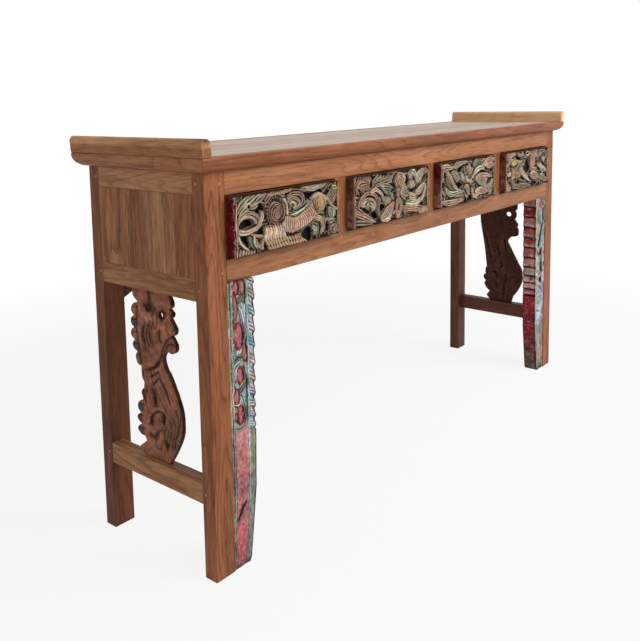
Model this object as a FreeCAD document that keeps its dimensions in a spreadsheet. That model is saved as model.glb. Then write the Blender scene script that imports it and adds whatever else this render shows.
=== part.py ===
import FreeCAD, Part
import math
import os
import re
import Sketcher

# A long altar table of reclaimed teak with four drawers behind old carved fronts.
# X runs along the table, the drawers face -Y, Z is up and the feet stand at zero.
# The origin lies on the floor under the middle of the top.

OUTPUT_FOLDER = "parts"
DRAWERS = 4
MULLIONS = DRAWERS - 1
LEFT = -1
RIGHT = 1
FRONT = -1
BACK = 1
SIDE_NAMES = {LEFT: "left", RIGHT: "right"}
END_NAMES = {FRONT: "front", BACK: "back"}

# Driving dimensions in millimetres: name, value, what it is.
SIZES = (
    ("frame_length", 1588, "over the posts, along X"),
    ("frame_depth", 345, "over the posts, along Y"),
    ("leg_height", 790, "floor to the underside of the top"),
    ("arris", 1, "chamfer that eases the long edges of the timbers"),
    ("post_width", 52, "post along X"),
    ("post_depth", 32, "post along Y"),
    ("rail_thickness", 28, "front and back rails along Y"),
    ("top_rail_height", 46, "front and back top rails"),
    ("opening_height", 122, "drawer openings"),
    ("bottom_rail_height", 46, "front and back bottom rails"),
    ("mullion_width", 41, "uprights between the drawers"),
    ("side_rail_thickness", 24, "side rails along X"),
    ("side_top_rail_height", 42, "side top rails"),
    ("side_panel_height", 157, "open height between the side rails"),
    ("side_bottom_rail_height", 43, "side bottom rails"),
    ("stretcher_level", 193, "floor to the top of the stretchers"),
    ("stretcher_height", 44, "stretchers along Z"),
    ("stretcher_thickness", 29, "stretchers along X"),
    ("stretcher_inset", 1, "stretcher behind the outer faces of the posts"),
    ("tenon_thickness", 10, "all tenons"),
    ("tenon_length", 24, "front and back rail tenons in the posts"),
    ("side_tenon_length", 18, "side rail tenons in the posts"),
    ("mullion_tenon_length", 16, "mullion tenons in the rails"),
    ("tenon_shoulder", 7, "shoulder above and below a rail tenon"),
    ("mullion_shoulder", 6, "shoulder at each side of a mullion tenon"),
    ("peg_radius", 2.7, "drawbore pegs over their corners"),
    ("peg_depth", 22, "how far a peg goes in"),
    ("tongue_depth", 6, "panel tongues in their grooves"),
    ("tongue_thickness", 5, "panel tongues"),
    ("side_board_thickness", 13, "boards of the side panels"),
    ("side_strip_width", 23, "narrow side board beside the front post"),
    ("side_light_board_width", 115, "middle board of a side panel"),
    ("back_panel_thickness", 10, "board behind the drawers"),
    ("back_panel_inset", 4, "back panel behind the back faces of the rails"),
    ("worn_edge_width", 9, "worn bevel under the front bottom rail"),
    ("worn_edge_end", 2, "the same bevel where it runs out"),
    ("worn_edge_length", 128, "the bevel along the rail"),
    ("haunch_width", 26, "curved haunch at the right end of the front rail"),
    ("haunch_drop", 14, "how far that haunch hangs"),
    ("corner_bracket_reach", 90, "back corner brackets along the rail"),
    ("corner_bracket_drop", 78, "back corner brackets down the post"),
    ("corner_bracket_thickness", 20, "back corner brackets"),
    ("corner_bracket_inset", 4, "back corner brackets behind the rail face"),
    ("pillar_depth", 42, "painted pillars along Y"),
    ("pillar_head_width", 71, "painted pillars in the highest notch of the ridges"),
    ("pillar_waist_width", 66, "painted pillars in the lowest notch of the ridges"),
    ("pillar_shin_width", 67, "painted pillars where the taper begins"),
    ("pillar_foot_width", 48, "painted pillars at the floor"),
    ("pillar_waist_level", 273, "floor to the lowest ridge"),
    ("pillar_ridge_depth", 4.5, "ridges before their notches"),
    ("pillar_ridge_shift", 16, "ridges of the right pillar below those of the left one"),
    ("pillar_shin_level", 150, "floor to the start of the taper"),
    ("pillar_foot_chamfer", 5, "worn corner of a pillar foot along X"),
    ("pillar_foot_wear", 10, "worn corner of a pillar foot along Z"),
    ("bracket_width", 148, "carved side brackets along Y"),
    ("bracket_thickness", 11, "carved side brackets along X"),
    ("bracket_inset", 10, "brackets behind the outer faces of the posts"),
    ("bracket_setback", 94, "front post face to the belly of a bracket"),
    ("bracket_tongue_width", 56, "tongues that hold a bracket"),
    ("bracket_tongue_thickness", 8, "tongues that hold a bracket"),
    ("top_thickness", 29, "planks of the top"),
    ("overhang", 25, "edge mouldings beyond the frame"),
    ("edge_round", 3, "rounding along the upper edge of a moulding"),
    ("edge_lip", 4, "top of a moulding to the start of its rounded underside"),
    ("flange_thickness", 23, "upright flanges on the ends"),
    ("flange_height", 34, "flanges above the top"),
    ("flange_lean", 2, "outward lean of a flange"),
    ("runner_thickness", 20, "drawer runners along Z"),
    ("runner_reach", 16, "runner under the side of a drawer"),
    ("running_gap", 0.3, "drawer above its runners"),
    ("guide_gap", 1, "drawer beside its guides"),
    ("guide_height", 30, "drawer guides"),
    ("kicker_gap", 3, "drawer below its kickers"),
    ("kicker_drop", 9, "kickers below the top of the openings"),
    ("kicker_thickness", 26, "kickers along Z"),
    ("stop_gap", 1, "closed drawer before the back panel"),
    ("front_side_gap", 4, "drawer box to the sides of its opening"),
    ("front_bottom_gap", 6, "drawer box and carved front to the bottom of the opening"),
    ("carved_side_gap", 2, "carved front to the left side of its opening"),
    ("carved_top_gap", 3, "carved front to the top of its opening"),
    ("carved_thickness", 24, "carved front before the rails"),
    ("carved_edge_round", 7, "worn upright corners of a carved front"),
    ("carved_relief", 6, "highest carving before its ground"),
    ("carved_hollow", 14, "hollows between the carvings, from the highest carving"),
    ("drawer_front_thickness", 12, "board behind a carved front"),
    ("drawer_side_thickness", 12, "drawer sides and back"),
    ("drawer_bottom_thickness", 6, "drawer bottoms"),
    ("drawer_bottom_rise", 8, "drawer bottom above the lower edge"),
    ("drawer_groove", 5, "drawer bottom in the grooves of its sides"),
)
FUNCTIONS = ("sqrt",)

# Levels, widths and places that several pieces share, in the words of the sheet.
OPENING_WIDTH = f"((frame_length - 2 * post_width - {MULLIONS} * mullion_width) / {DRAWERS})"
OPENING_PITCH = f"({OPENING_WIDTH} + mullion_width)"
OPENING_TOP = "(leg_height - top_rail_height)"
OPENING_BOTTOM = f"({OPENING_TOP} - opening_height)"
BOTTOM_RAIL_LEVEL = f"({OPENING_BOTTOM} - bottom_rail_height)"
PANEL_TOP = "(leg_height - side_top_rail_height)"
PANEL_BOTTOM = f"({PANEL_TOP} - side_panel_height)"
SIDE_RAIL_LEVEL = f"({PANEL_BOTTOM} - side_bottom_rail_height)"
BETWEEN_POSTS_X = "(frame_length - 2 * post_width)"
BETWEEN_POSTS_Y = "(frame_depth - 2 * post_depth)"
HALF_LENGTH = "(frame_length / 2)"
HALF_DEPTH = "(frame_depth / 2)"
FRONT_FACE = "(-frame_depth / 2)"
BRACKET_HEIGHT = f"({SIDE_RAIL_LEVEL} - stretcher_level)"
DRAWER_LEVEL = f"({OPENING_BOTTOM} + front_bottom_gap)"
RUNNER_TOP = f"({DRAWER_LEVEL} - running_gap)"
DRAWER_WIDTH = f"({OPENING_WIDTH} - 2 * front_side_gap)"
DRAWER_HEIGHT = "(opening_height - kicker_drop - kicker_gap - front_bottom_gap)"
CARVED_HEIGHT = "(opening_height - carved_top_gap - front_bottom_gap)"
CARVED_GROUND = "(carved_thickness - carved_relief)"
PANEL_FACE = f"({HALF_DEPTH} - back_panel_inset - back_panel_thickness)"
DRAWER_BACK = f"({PANEL_FACE} - stop_gap)"

# The old carved panels are narrower than the openings: widths as shares of an opening.
CARVED_WIDTH_SHARES = (0.96, 0.95, 0.91, 0.91)
# Planks of the top from the front: name, start and width as shares of the frame depth.
PLANK_SHARES = (("front", 0, 0.30), ("middle", 0.30, 0.38), ("back", 0.68, 0.32))
# Outlines of the two carved side brackets, counter-clockwise seen from +X: shares of
# the bracket width (from the belly towards the back) and height, and the bulge of the
# stretch that follows as a share of its length, where a plus bows outwards.
BRACKET_OUTLINE_SHARES = {
    LEFT: (
        (0.300, 0.000, 0.00), (0.800, 0.000, 0.00), (0.914, 0.041, 0.00), (0.765, 0.088, 0.00),
        (0.796, 0.114, 0.12), (0.948, 0.135, 0.20), (0.901, 0.170, 0.00), (0.829, 0.181, 0.10),
        (0.953, 0.208, 0.26), (0.863, 0.239, 0.00), (0.840, 0.243, 0.10), (0.933, 0.276, 0.26),
        (0.794, 0.325, 0.00), (0.827, 0.360, 0.25), (0.782, 0.402, 0.00), (0.765, 0.443, 0.12),
        (0.817, 0.489, 0.04), (0.809, 0.536, 0.20), (0.922, 0.563, 0.22), (0.869, 0.615, 0.10),
        (0.983, 0.640, 0.24), (0.907, 0.682, 0.10), (1.015, 0.707, 0.24), (0.909, 0.754, 0.10),
        (1.006, 0.780, 0.24), (0.908, 0.826, 0.10), (0.990, 0.854, 0.26), (0.814, 0.903, 0.00),
        (0.926, 0.941, 0.14), (0.930, 1.000, 0.00), (0.260, 1.000, 0.14), (0.135, 0.945, 0.26),
        (0.205, 0.912, 0.00), (0.130, 0.893, 0.24), (0.180, 0.858, 0.00), (0.080, 0.806, 0.26),
        (0.165, 0.760, 0.00), (0.085, 0.715, 0.40), (0.240, 0.668, -0.10), (0.345, 0.622, -0.12),
        (0.250, 0.530, 0.02), (0.050, 0.372, 0.06), (0.010, 0.264, 0.06), (0.045, 0.175, 0.03),
    ),
    RIGHT: (
        (0.244, 0.000, 0.00), (0.750, 0.000, 0.00), (0.850, 0.043, 0.00), (0.769, 0.091, 0.10),
        (0.888, 0.143, 0.26), (0.858, 0.188, 0.10), (0.921, 0.215, 0.26), (0.870, 0.258, 0.10),
        (0.876, 0.297, 0.22), (0.846, 0.329, 0.00), (0.908, 0.538, 0.00), (1.011, 0.775, 0.00),
        (1.035, 1.000, 0.00), (0.161, 1.000, 0.20), (0.126, 0.955, 0.20), (0.175, 0.907, 0.20),
        (0.184, 0.825, 0.00), (0.112, 0.787, 0.20), (0.133, 0.747, 0.20), (0.090, 0.707, 0.14),
        (0.113, 0.665, 0.05), (0.222, 0.656, -0.10), (0.326, 0.621, -0.20), (0.322, 0.584, 0.00),
        (0.062, 0.385, 0.10), (-0.017, 0.290, 0.10), (0.006, 0.195, 0.05), (0.190, 0.069, 0.00),
    ),
}
# Holes cut through them in straight facets: centre and half sizes as the same shares.
BRACKET_HOLE_SHARES = {
    LEFT: (
        (0.380, 0.256, 0.034, 0.032), (0.640, 0.222, 0.036, 0.028), (0.540, 0.362, 0.024, 0.030),
        (0.335, 0.106, 0.026, 0.022), (0.365, 0.865, 0.050, 0.022), (0.640, 0.885, 0.040, 0.024),
    ),
    RIGHT: (
        (0.321, 0.872, 0.073, 0.022),
    ),
}
# The main forms of each carved front: how high it stands as a share of the relief,
# then its outline as shares of the panel's width and height, with the bulge of the
# stretch that follows. Two points make a leaf or a crescent, and six a boss.
CARVED_FORM_SHARES = (
    (
        (0.6, ((0.02, 0.41, 0.42), (0.225, 0.72, -0.22))),
        (0.5, ((0.01, 0.80, 0.20), (0.25, 0.90, 0.20))),
        (1.0, ((0.285, 0.63, 0.00), (0.323, 0.43, 0.00), (0.407, 0.43, 0.00),
               (0.445, 0.63, 0.00), (0.407, 0.83, 0.00), (0.323, 0.83, 0.00))),
        (0.7, ((0.255, 0.12, 0.00), (0.435, 0.12, 0.00), (0.435, 0.38, 0.00), (0.265, 0.38, 0.00))),
        (0.8, ((0.45, 0.22, 0.12), (0.83, 0.66, 0.20), (0.74, 0.81, -0.16), (0.44, 0.50, 0.00))),
        (0.5, ((0.47, 0.75, 0.45), (0.60, 0.75, 0.45))),
        (0.5, ((0.89, 0.28, 0.25), (0.90, 0.56, 0.25))),
    ),
    (
        (0.6, ((0.04, 0.40, -0.30), (0.30, 0.46, 0.45))),
        (0.6, ((0.01, 0.26, 0.10), (0.26, 0.04, 0.22))),
        (0.8, ((0.20, 0.72, 0.22), (0.48, 0.95, 0.13))),
        (0.7, ((0.33, 0.06, 0.28), (0.50, 0.40, 0.12))),
        (1.0, ((0.59, 0.62, 0.32), (0.59, 0.97, 0.32))),
        (0.8, ((0.55, 0.03, 0.24), (0.56, 0.46, 0.24))),
        (0.7, ((0.63, 0.28, 0.40), (0.92, 0.68, -0.20))),
    ),
    (
        (0.7, ((0.01, 0.90, -0.10), (0.34, 0.31, 0.30))),
        (0.6, ((0.05, 0.44, 0.30), (0.40, 0.30, -0.12))),
        (0.6, ((0.19, 0.76, 0.24), (0.33, 0.48, 0.20))),
        (1.0, ((0.43, 0.76, 0.00), (0.465, 0.59, 0.00), (0.535, 0.59, 0.00),
               (0.57, 0.76, 0.00), (0.535, 0.93, 0.00), (0.465, 0.93, 0.00))),
        (0.7, ((0.49, 0.10, 0.26), (0.46, 0.42, 0.26))),
        (0.8, ((0.61, 0.54, 0.20), (0.91, 0.20, 0.24))),
        (0.6, ((0.57, 0.08, 0.14), (0.86, 0.16, 0.20))),
    ),
    (
        (0.8, ((0.09, 0.72, 0.34), (0.21, 0.72, 0.34))),
        (0.5, ((0.17, 0.32, 0.24), (0.24, 0.60, 0.24))),
        (0.8, ((0.30, 0.56, -0.06), (0.52, 0.18, 0.30))),
        (1.0, ((0.55, 0.45, 0.28), (0.62, 0.97, 0.18))),
        (0.7, ((0.55, 0.32, 0.30), (0.73, 0.24, 0.24))),
        (0.8, ((0.72, 0.62, 0.16), (0.94, 0.38, 0.16))),
        (0.6, ((0.79, 0.26, 0.24), (0.95, 0.07, 0.24))),
    ),
)
# Hollows between them, cut back in straight facets: corners as the same shares.
CARVED_HOLLOW_SHARES = (
    (
        ((0.05, 0.36), (0.10, 0.12), (0.12, 0.33)), ((0.05, 0.44), (0.14, 0.45), (0.13, 0.57), (0.06, 0.58)),
        ((0.16, 0.74), (0.22, 0.66), (0.25, 0.72), (0.22, 0.83)), ((0.44, 0.86), (0.56, 0.83), (0.52, 0.92)),
        ((0.61, 0.91), (0.66, 0.79), (0.70, 0.77), (0.81, 0.87)), ((0.61, 0.12), (0.70, 0.03), (0.70, 0.19)),
        ((0.85, 0.09), (0.89, 0.10), (0.89, 0.24), (0.85, 0.23)), ((0.84, 0.35), (0.87, 0.44), (0.87, 0.57)),
    ),
    (
        ((0.21, 0.23), (0.26, 0.10), (0.30, 0.12), (0.26, 0.26)), ((0.32, 0.23), (0.38, 0.36), (0.32, 0.37)),
        ((0.47, 0.80), (0.52, 0.78), (0.55, 0.87), (0.50, 0.92)), ((0.45, 0.60), (0.49, 0.49), (0.53, 0.60)),
        ((0.65, 0.66), (0.70, 0.76), (0.68, 0.90), (0.645, 0.85)), ((0.88, 0.69), (0.93, 0.73), (0.96, 0.88)),
        ((0.70, 0.53), (0.76, 0.51), (0.79, 0.58), (0.73, 0.61)),
    ),
    (
        ((0.05, 0.76), (0.07, 0.57), (0.10, 0.61), (0.08, 0.78)), ((0.28, 0.77), (0.38, 0.77), (0.41, 0.90)),
        ((0.255, 0.47), (0.35, 0.37), (0.38, 0.45), (0.31, 0.56)), ((0.53, 0.81), (0.58, 0.82), (0.56, 0.91)),
        ((0.65, 0.57), (0.76, 0.61), (0.84, 0.63), (0.76, 0.70)), ((0.89, 0.61), (0.97, 0.64), (0.93, 0.71)),
        ((0.82, 0.34), (0.87, 0.36), (0.85, 0.44)), ((0.46, 0.02), (0.56, 0.03), (0.50, 0.15)),
    ),
    (
        ((0.20, 0.89), (0.25, 0.80), (0.32, 0.80), (0.26, 0.91)), ((0.02, 0.28), (0.06, 0.29), (0.06, 0.41)),
        ((0.09, 0.42), (0.13, 0.38), (0.12, 0.57)), ((0.06, 0.25), (0.12, 0.03), (0.15, 0.03), (0.11, 0.26)),
        ((0.39, 0.60), (0.46, 0.42), (0.53, 0.52), (0.49, 0.83)), ((0.57, 0.05), (0.69, 0.05), (0.60, 0.13)),
        ((0.82, 0.60), (0.87, 0.46), (0.93, 0.48), (0.88, 0.61)), ((0.86, 0.32), (0.89, 0.24), (0.92, 0.31)),
    ),
)
ROUND_BULGE_SHARE = 0.207
CORNER_BULGE_SHARE = 0.1
# Notches of the ridged edge of each pillar, as shares of the height from its waist to its top.
RIDGE_LEVEL_SHARES = {
    LEFT: (0, 0.066, 0.132, 0.211, 0.304, 0.413, 0.528, 0.630, 0.739, 0.848, 0.957, 1),
    RIGHT: (0, 0.060, 0.129, 0.204, 0.292, 0.389, 0.495, 0.596, 0.699, 0.809, 0.912, 1),
}
# A ridge is fullest this share of the way up to the next notch, below a flat taper.
RIDGE_BELLY_SHARE = 0.34
RIDGE_BULGE_SHARE = 0.20
PEG_FACES = 6


def expression(text):
    """Turn the words of a size formula into references to the sheet."""
    def refer(match):
        word = match.group(0)
        return word if word in FUNCTIONS else "Sizes." + word
    return re.sub(r"[a-z][a-z_]+", refer, text)


def make_sheet(doc):
    sheet = doc.addObject("Spreadsheet::Sheet", "Sizes")
    for row, (alias, size, note) in enumerate(SIZES, start=1):
        sheet.set(f"A{row}", note)
        sheet.set(f"B{row}", str(size))
        sheet.setAlias(f"B{row}", alias)
    doc.recompute()
    return sheet


def value(doc, text):
    """The present value of a size formula."""
    return float(doc.Sizes.evalExpression(expression(text)))


def place(thing, corner):
    for axis, text in zip("xyz", corner):
        thing.setExpression(f"Placement.Base.{axis}", expression(text))


def block(doc, label, size, corner):
    """A squared piece from the formulas of its size and lowest corner."""
    box = doc.addObject("Part::Box", label)
    for name, text in zip(("Length", "Width", "Height"), size):
        box.setExpression(name, expression(text))
    place(box, corner)
    return box


def peg(doc, label, axis, tip):
    """A whittled peg whose tip is given and whose head comes out along an axis."""
    rod = doc.addObject("Part::Prism", label)
    rod.Polygon = PEG_FACES
    rod.setExpression("Circumradius", expression("peg_radius"))
    rod.setExpression("Height", expression("peg_depth"))
    rod.Placement.Rotation = FreeCAD.Rotation(FreeCAD.Vector(0, 0, 1), FreeCAD.Vector(*axis))
    place(rod, tip)
    return rod


def union(doc, label, pieces):
    joined = doc.addObject("Part::MultiFuse", label)
    joined.Shapes = pieces
    joined.Refine = True
    return joined


def cut(doc, label, base, tools):
    """The base without the tools."""
    tool = tools[0] if len(tools) == 1 else union(doc, label + "_cutters", tools)
    result = doc.addObject("Part::Cut", label)
    result.Base = base
    result.Tool = tool
    result.Refine = True
    return result


def group(doc, label, pieces):
    """Separate solids that share one node."""
    together = doc.addObject("Part::Compound", label)
    together.Links = pieces
    return together


def eased(doc, label, base, direction):
    """Chamfer the four long outer edges of a timber that runs along a direction."""
    doc.recompute()
    box = base.Shape.BoundBox
    size = value(doc, "arris")
    across = [axis for axis in range(3) if axis != direction]
    low = (box.XMin, box.YMin, box.ZMin)
    high = (box.XMax, box.YMax, box.ZMax)
    edges = []
    for number, edge in enumerate(base.Shape.Edges, start=1):
        if edge.Curve.TypeId != "Part::GeomLine":
            continue
        if abs(edge.tangentAt(edge.FirstParameter)[direction]) < 1 - Part.Precision.confusion():
            continue
        point = edge.CenterOfMass
        outer = [
            min(abs(point[axis] - low[axis]), abs(point[axis] - high[axis])) < size / len(across)
            for axis in across
        ]
        if all(outer):
            edges.append((number, size, size))
    timber = doc.addObject("Part::Chamfer", label)
    timber.Base = base
    timber.Edges = edges
    return timber


def side_x(side, offset, thickness):
    """Place along X of a piece inside the outer face of the left or right posts."""
    if side == LEFT:
        return f"-{HALF_LENGTH} + ({offset})"
    return f"{HALF_LENGTH} - ({offset}) - ({thickness})"


def end_y(end, offset, thickness):
    """Place along Y of a piece inside the front or back faces of the posts."""
    if end == FRONT:
        return f"-{HALF_DEPTH} + ({offset})"
    return f"{HALF_DEPTH} - ({offset}) - ({thickness})"


def opening_x(index):
    """Left side of a drawer opening."""
    return f"(-{HALF_LENGTH} + post_width + {index} * {OPENING_PITCH})"


def mullion_x(index):
    return f"({opening_x(index)} + {OPENING_WIDTH})"


# Sketches and bodies

def sketch_on(body, role, name):
    sketch = body.newObject("Sketcher::SketchObject", name)
    plane = [feature for feature in body.Origin.OriginFeatures if feature.Role == role][0]
    sketch.AttachmentSupport = [(plane, "")]
    sketch.MapMode = "FlatFace"
    return sketch


def arc_between(start, end, bulge):
    """The arc from start to end that bows out by a share of its chord."""
    chord = end - start
    length = chord.Length
    sagitta = abs(bulge) * length
    radius = (length * length / 4 + sagitta * sagitta) / (2 * sagitta)
    left = FreeCAD.Vector(-chord.y, chord.x, 0) / length
    side = 1 if bulge > 0 else -1
    centre = (start + end) / 2 + left * side * (radius - sagitta)
    circle = Part.Circle(centre, FreeCAD.Vector(0, 0, 1), radius)
    first, last = (start, end) if bulge > 0 else (end, start)
    angles = [math.atan2(point.y - centre.y, point.x - centre.x) for point in (first, last)]
    if angles[1] < angles[0]:
        angles[1] += 2 * math.pi
    return Part.ArcOfCircle(circle, *angles)


def add_outline(doc, sketch, points):
    """Draw a closed outline of lines and arcs through points, each held by its formulas.

    A point is a formula for each of its places and the bulge of the stretch after it."""
    numbers = [FreeCAD.Vector(value(doc, x), value(doc, y), 0) for x, y, bulge in points]
    first = sketch.GeometryCount
    ends = []
    shapes = []
    for index, (x, y, bulge) in enumerate(points):
        start = numbers[index]
        end = numbers[(index + 1) % len(points)]
        shapes.append(arc_between(start, end, bulge) if bulge else Part.LineSegment(start, end))
        ends.append((2, 1) if bulge < 0 else (1, 2))
    sketch.addGeometry(shapes, False)
    joins = []
    for index in range(len(points)):
        following = (index + 1) % len(points)
        joins.append(Sketcher.Constraint(
            "Coincident", first + index, ends[index][1], first + following, ends[following][0]))
    sketch.addConstraint(joins)
    for index, (x, y, bulge) in enumerate(points):
        at = (first + index, ends[index][0])
        for kind, text, number in (("DistanceX", x, numbers[index].x), ("DistanceY", y, numbers[index].y)):
            row = sketch.addConstraint(Sketcher.Constraint(kind, -1, 1, *at, number))
            sketch.setExpression(f"Constraints[{row}]", expression(text))
        if bulge:
            bind_arc(sketch, first + index, points[index], points[(index + 1) % len(points)])


def bind_arc(sketch, geometry, start, end):
    """Tie the radius of an arc to its chord, so that its bulge stays the same share."""
    bulge = abs(start[2])
    ratio = (1 / 4 + bulge * bulge) / (2 * bulge)
    chord = f"sqrt(({end[0]} - ({start[0]}))^2 + ({end[1]} - ({start[1]}))^2)"
    radius = sketch.Geometry[geometry].Radius
    row = sketch.addConstraint(Sketcher.Constraint("Radius", geometry, radius))
    sketch.setExpression(f"Constraints[{row}]", expression(f"{chord} * {ratio}"))


def six_sided(x, y, half_x, half_y):
    """A long hexagon about a centre, from formulas."""
    return (
        (f"{x} + {half_x}", y, 0), (f"{x} + {half_x} / 2", f"{y} + {half_y}", 0),
        (f"{x} - {half_x} / 2", f"{y} + {half_y}", 0), (f"{x} - {half_x}", y, 0),
        (f"{x} - {half_x} / 2", f"{y} - {half_y}", 0), (f"{x} + {half_x} / 2", f"{y} - {half_y}", 0),
    )


def pad(body, sketch, name, length, middle=False):
    feature = body.newObject("PartDesign::Pad", name)
    feature.Profile = sketch
    feature.setExpression("Length", expression(length))
    if middle:
        feature.SideType = "Symmetric"
    return feature


def pocket_through(body, sketch, name):
    feature = body.newObject("PartDesign::Pocket", name)
    feature.Profile = sketch
    feature.Type = "ThroughAll"
    feature.SideType = "Symmetric"
    return feature


# Joinery that two pieces share: one side keeps it and the other is cut by it

def rail_tenons(doc, label, end, level, height):
    """The tenons at both ends of a front or back rail, as one bar through it."""
    return block(
        doc, label,
        (f"{BETWEEN_POSTS_X} + 2 * tenon_length", "tenon_thickness", f"{height} - 2 * tenon_shoulder"),
        (f"-{HALF_LENGTH} + post_width - tenon_length",
         end_y(end, "(rail_thickness - tenon_thickness) / 2", "tenon_thickness"),
         f"{level} + tenon_shoulder"),
    )


def side_tenons(doc, label, side, inset, level, height):
    """The tenons at both ends of a side rail, as one bar through it."""
    return block(
        doc, label,
        ("tenon_thickness", f"{BETWEEN_POSTS_Y} + 2 * side_tenon_length", f"{height} - 2 * tenon_shoulder"),
        (side_x(side, inset, "tenon_thickness"),
         f"-{HALF_DEPTH} + post_depth - side_tenon_length",
         f"{level} + tenon_shoulder"),
    )


def mullion_tenons(doc, index):
    return block(
        doc, f"mullion_{index + 1}_tenons",
        ("mullion_width - 2 * mullion_shoulder", "tenon_thickness",
         "opening_height + 2 * mullion_tenon_length"),
        (f"{mullion_x(index)} + mullion_shoulder",
         f"{FRONT_FACE} + (rail_thickness - tenon_thickness) / 2",
         f"{OPENING_BOTTOM} - mullion_tenon_length"),
    )


def make_pegs(doc):
    """Pegs through the joints, by where they go in."""
    pegs = {"front": [], "back": [], LEFT: [], RIGHT: [], "mullions": []}
    post_peg_x = f"({HALF_LENGTH} - post_width + tenon_length / 2)"
    rail_levels = (f"({OPENING_TOP} + top_rail_height / 2)", f"({BOTTOM_RAIL_LEVEL} + bottom_rail_height / 2)")
    for end in (FRONT, BACK):
        name = END_NAMES[end]
        tip_y = f"{end} * ({HALF_DEPTH} - peg_depth)"
        for side in (LEFT, RIGHT):
            for row, level in enumerate(rail_levels):
                label = f"{name}_{SIDE_NAMES[side]}_peg_{row}"
                tip = (f"{side} * {post_peg_x}", tip_y, level)
                pegs[name].append(peg(doc, label, (0, end, 0), tip))
    for side in (LEFT, RIGHT):
        tip_x = f"{side} * ({HALF_LENGTH} - peg_depth)"
        levels = (
            f"{PANEL_TOP} + side_top_rail_height / 2",
            f"{SIDE_RAIL_LEVEL} + side_bottom_rail_height / 2",
            "stretcher_level - stretcher_height / 2",
        )
        for end in (FRONT, BACK):
            tip_y = f"{end} * ({HALF_DEPTH} - post_depth + side_tenon_length / 2)"
            for row, level in enumerate(levels):
                label = f"{SIDE_NAMES[side]}_{END_NAMES[end]}_peg_{row}"
                pegs[side].append(peg(doc, label, (side, 0, 0), (tip_x, tip_y, level)))
    for index in range(MULLIONS):
        for row, level in enumerate((
            f"{OPENING_TOP} + mullion_tenon_length / 2",
            f"{OPENING_BOTTOM} - mullion_tenon_length / 2",
        )):
            tip = (f"{mullion_x(index)} + mullion_width / 2", f"{FRONT_FACE} + peg_depth", level)
            pegs["mullions"].append(peg(doc, f"mullion_{index + 1}_peg_{row}", (0, FRONT, 0), tip))
    return pegs


def make_joinery(doc):
    """Every tenon and tongue, so that each pair of pieces shares one shape."""
    joints = {"pegs": make_pegs(doc), "haunch": haunch(doc)}
    for end in (FRONT, BACK):
        name = END_NAMES[end]
        joints[name, "top"] = rail_tenons(
            doc, f"{name}_top_tenons", end, OPENING_TOP, "top_rail_height")
        joints[name, "bottom"] = rail_tenons(
            doc, f"{name}_bottom_tenons", end, BOTTOM_RAIL_LEVEL, "bottom_rail_height")
    for side in (LEFT, RIGHT):
        name = SIDE_NAMES[side]
        rail_inset = "(side_rail_thickness - tenon_thickness) / 2"
        stretcher_tenon_inset = "stretcher_inset + (stretcher_thickness - tenon_thickness) / 2"
        joints[side, "top"] = side_tenons(
            doc, f"{name}_top_tenons", side, rail_inset, PANEL_TOP, "side_top_rail_height")
        joints[side, "bottom"] = side_tenons(
            doc, f"{name}_bottom_tenons", side, rail_inset, SIDE_RAIL_LEVEL, "side_bottom_rail_height")
        joints[side, "stretcher"] = side_tenons(
            doc, f"{name}_stretcher_tenons", side, stretcher_tenon_inset,
            "(stretcher_level - stretcher_height)", "stretcher_height")
        joints[side, "panel"] = block(
            doc, f"{name}_panel_tongue",
            ("tongue_thickness", BETWEEN_POSTS_Y, "side_panel_height + 2 * tongue_depth"),
            (side_x(side, "(side_board_thickness - tongue_thickness) / 2", "tongue_thickness"),
             f"-{HALF_DEPTH} + post_depth", f"{PANEL_BOTTOM} - tongue_depth"),
        )
        joints[side, "bracket"] = block(
            doc, f"{name}_bracket_tongue",
            ("bracket_tongue_thickness", "bracket_tongue_width", f"{BRACKET_HEIGHT} + 2 * tongue_depth"),
            (side_x(side, "bracket_inset + (bracket_thickness - bracket_tongue_thickness) / 2",
                    "bracket_tongue_thickness"),
             f"{FRONT_FACE} + bracket_setback + (bracket_width - bracket_tongue_width) / 2",
             "stretcher_level - tongue_depth"),
        )
    joints["mullions"] = [mullion_tenons(doc, index) for index in range(MULLIONS)]
    joints["back_panel"] = block(
        doc, "back_panel_board",
        (f"{BETWEEN_POSTS_X} + 2 * tongue_depth", "back_panel_thickness", "opening_height + 2 * tongue_depth"),
        (f"-{HALF_LENGTH} + post_width - tongue_depth", PANEL_FACE, f"{OPENING_BOTTOM} - tongue_depth"),
    )
    return joints


# The frame

def make_posts(doc, joints):
    parts = {}
    for end in (FRONT, BACK):
        for side in (LEFT, RIGHT):
            label = f"{END_NAMES[end]}_{SIDE_NAMES[side]}_post"
            blank = block(
                doc, label + "_blank", ("post_width", "post_depth", "leg_height"),
                (side_x(side, "0", "post_width"), end_y(end, "0", "post_depth"), "0"),
            )
            cutters = [joints[END_NAMES[end], "top"], joints[END_NAMES[end], "bottom"]]
            cutters += [joints[side, row] for row in ("top", "bottom", "stretcher")]
            cutters += joints["pegs"][END_NAMES[end]] + joints["pegs"][side]
            if end == BACK:
                cutters.append(joints["back_panel"])
            mortised = cut(doc, label + "_mortised", blank, cutters)
            parts[label] = eased(doc, label, mortised, 2)
    return parts


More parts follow.
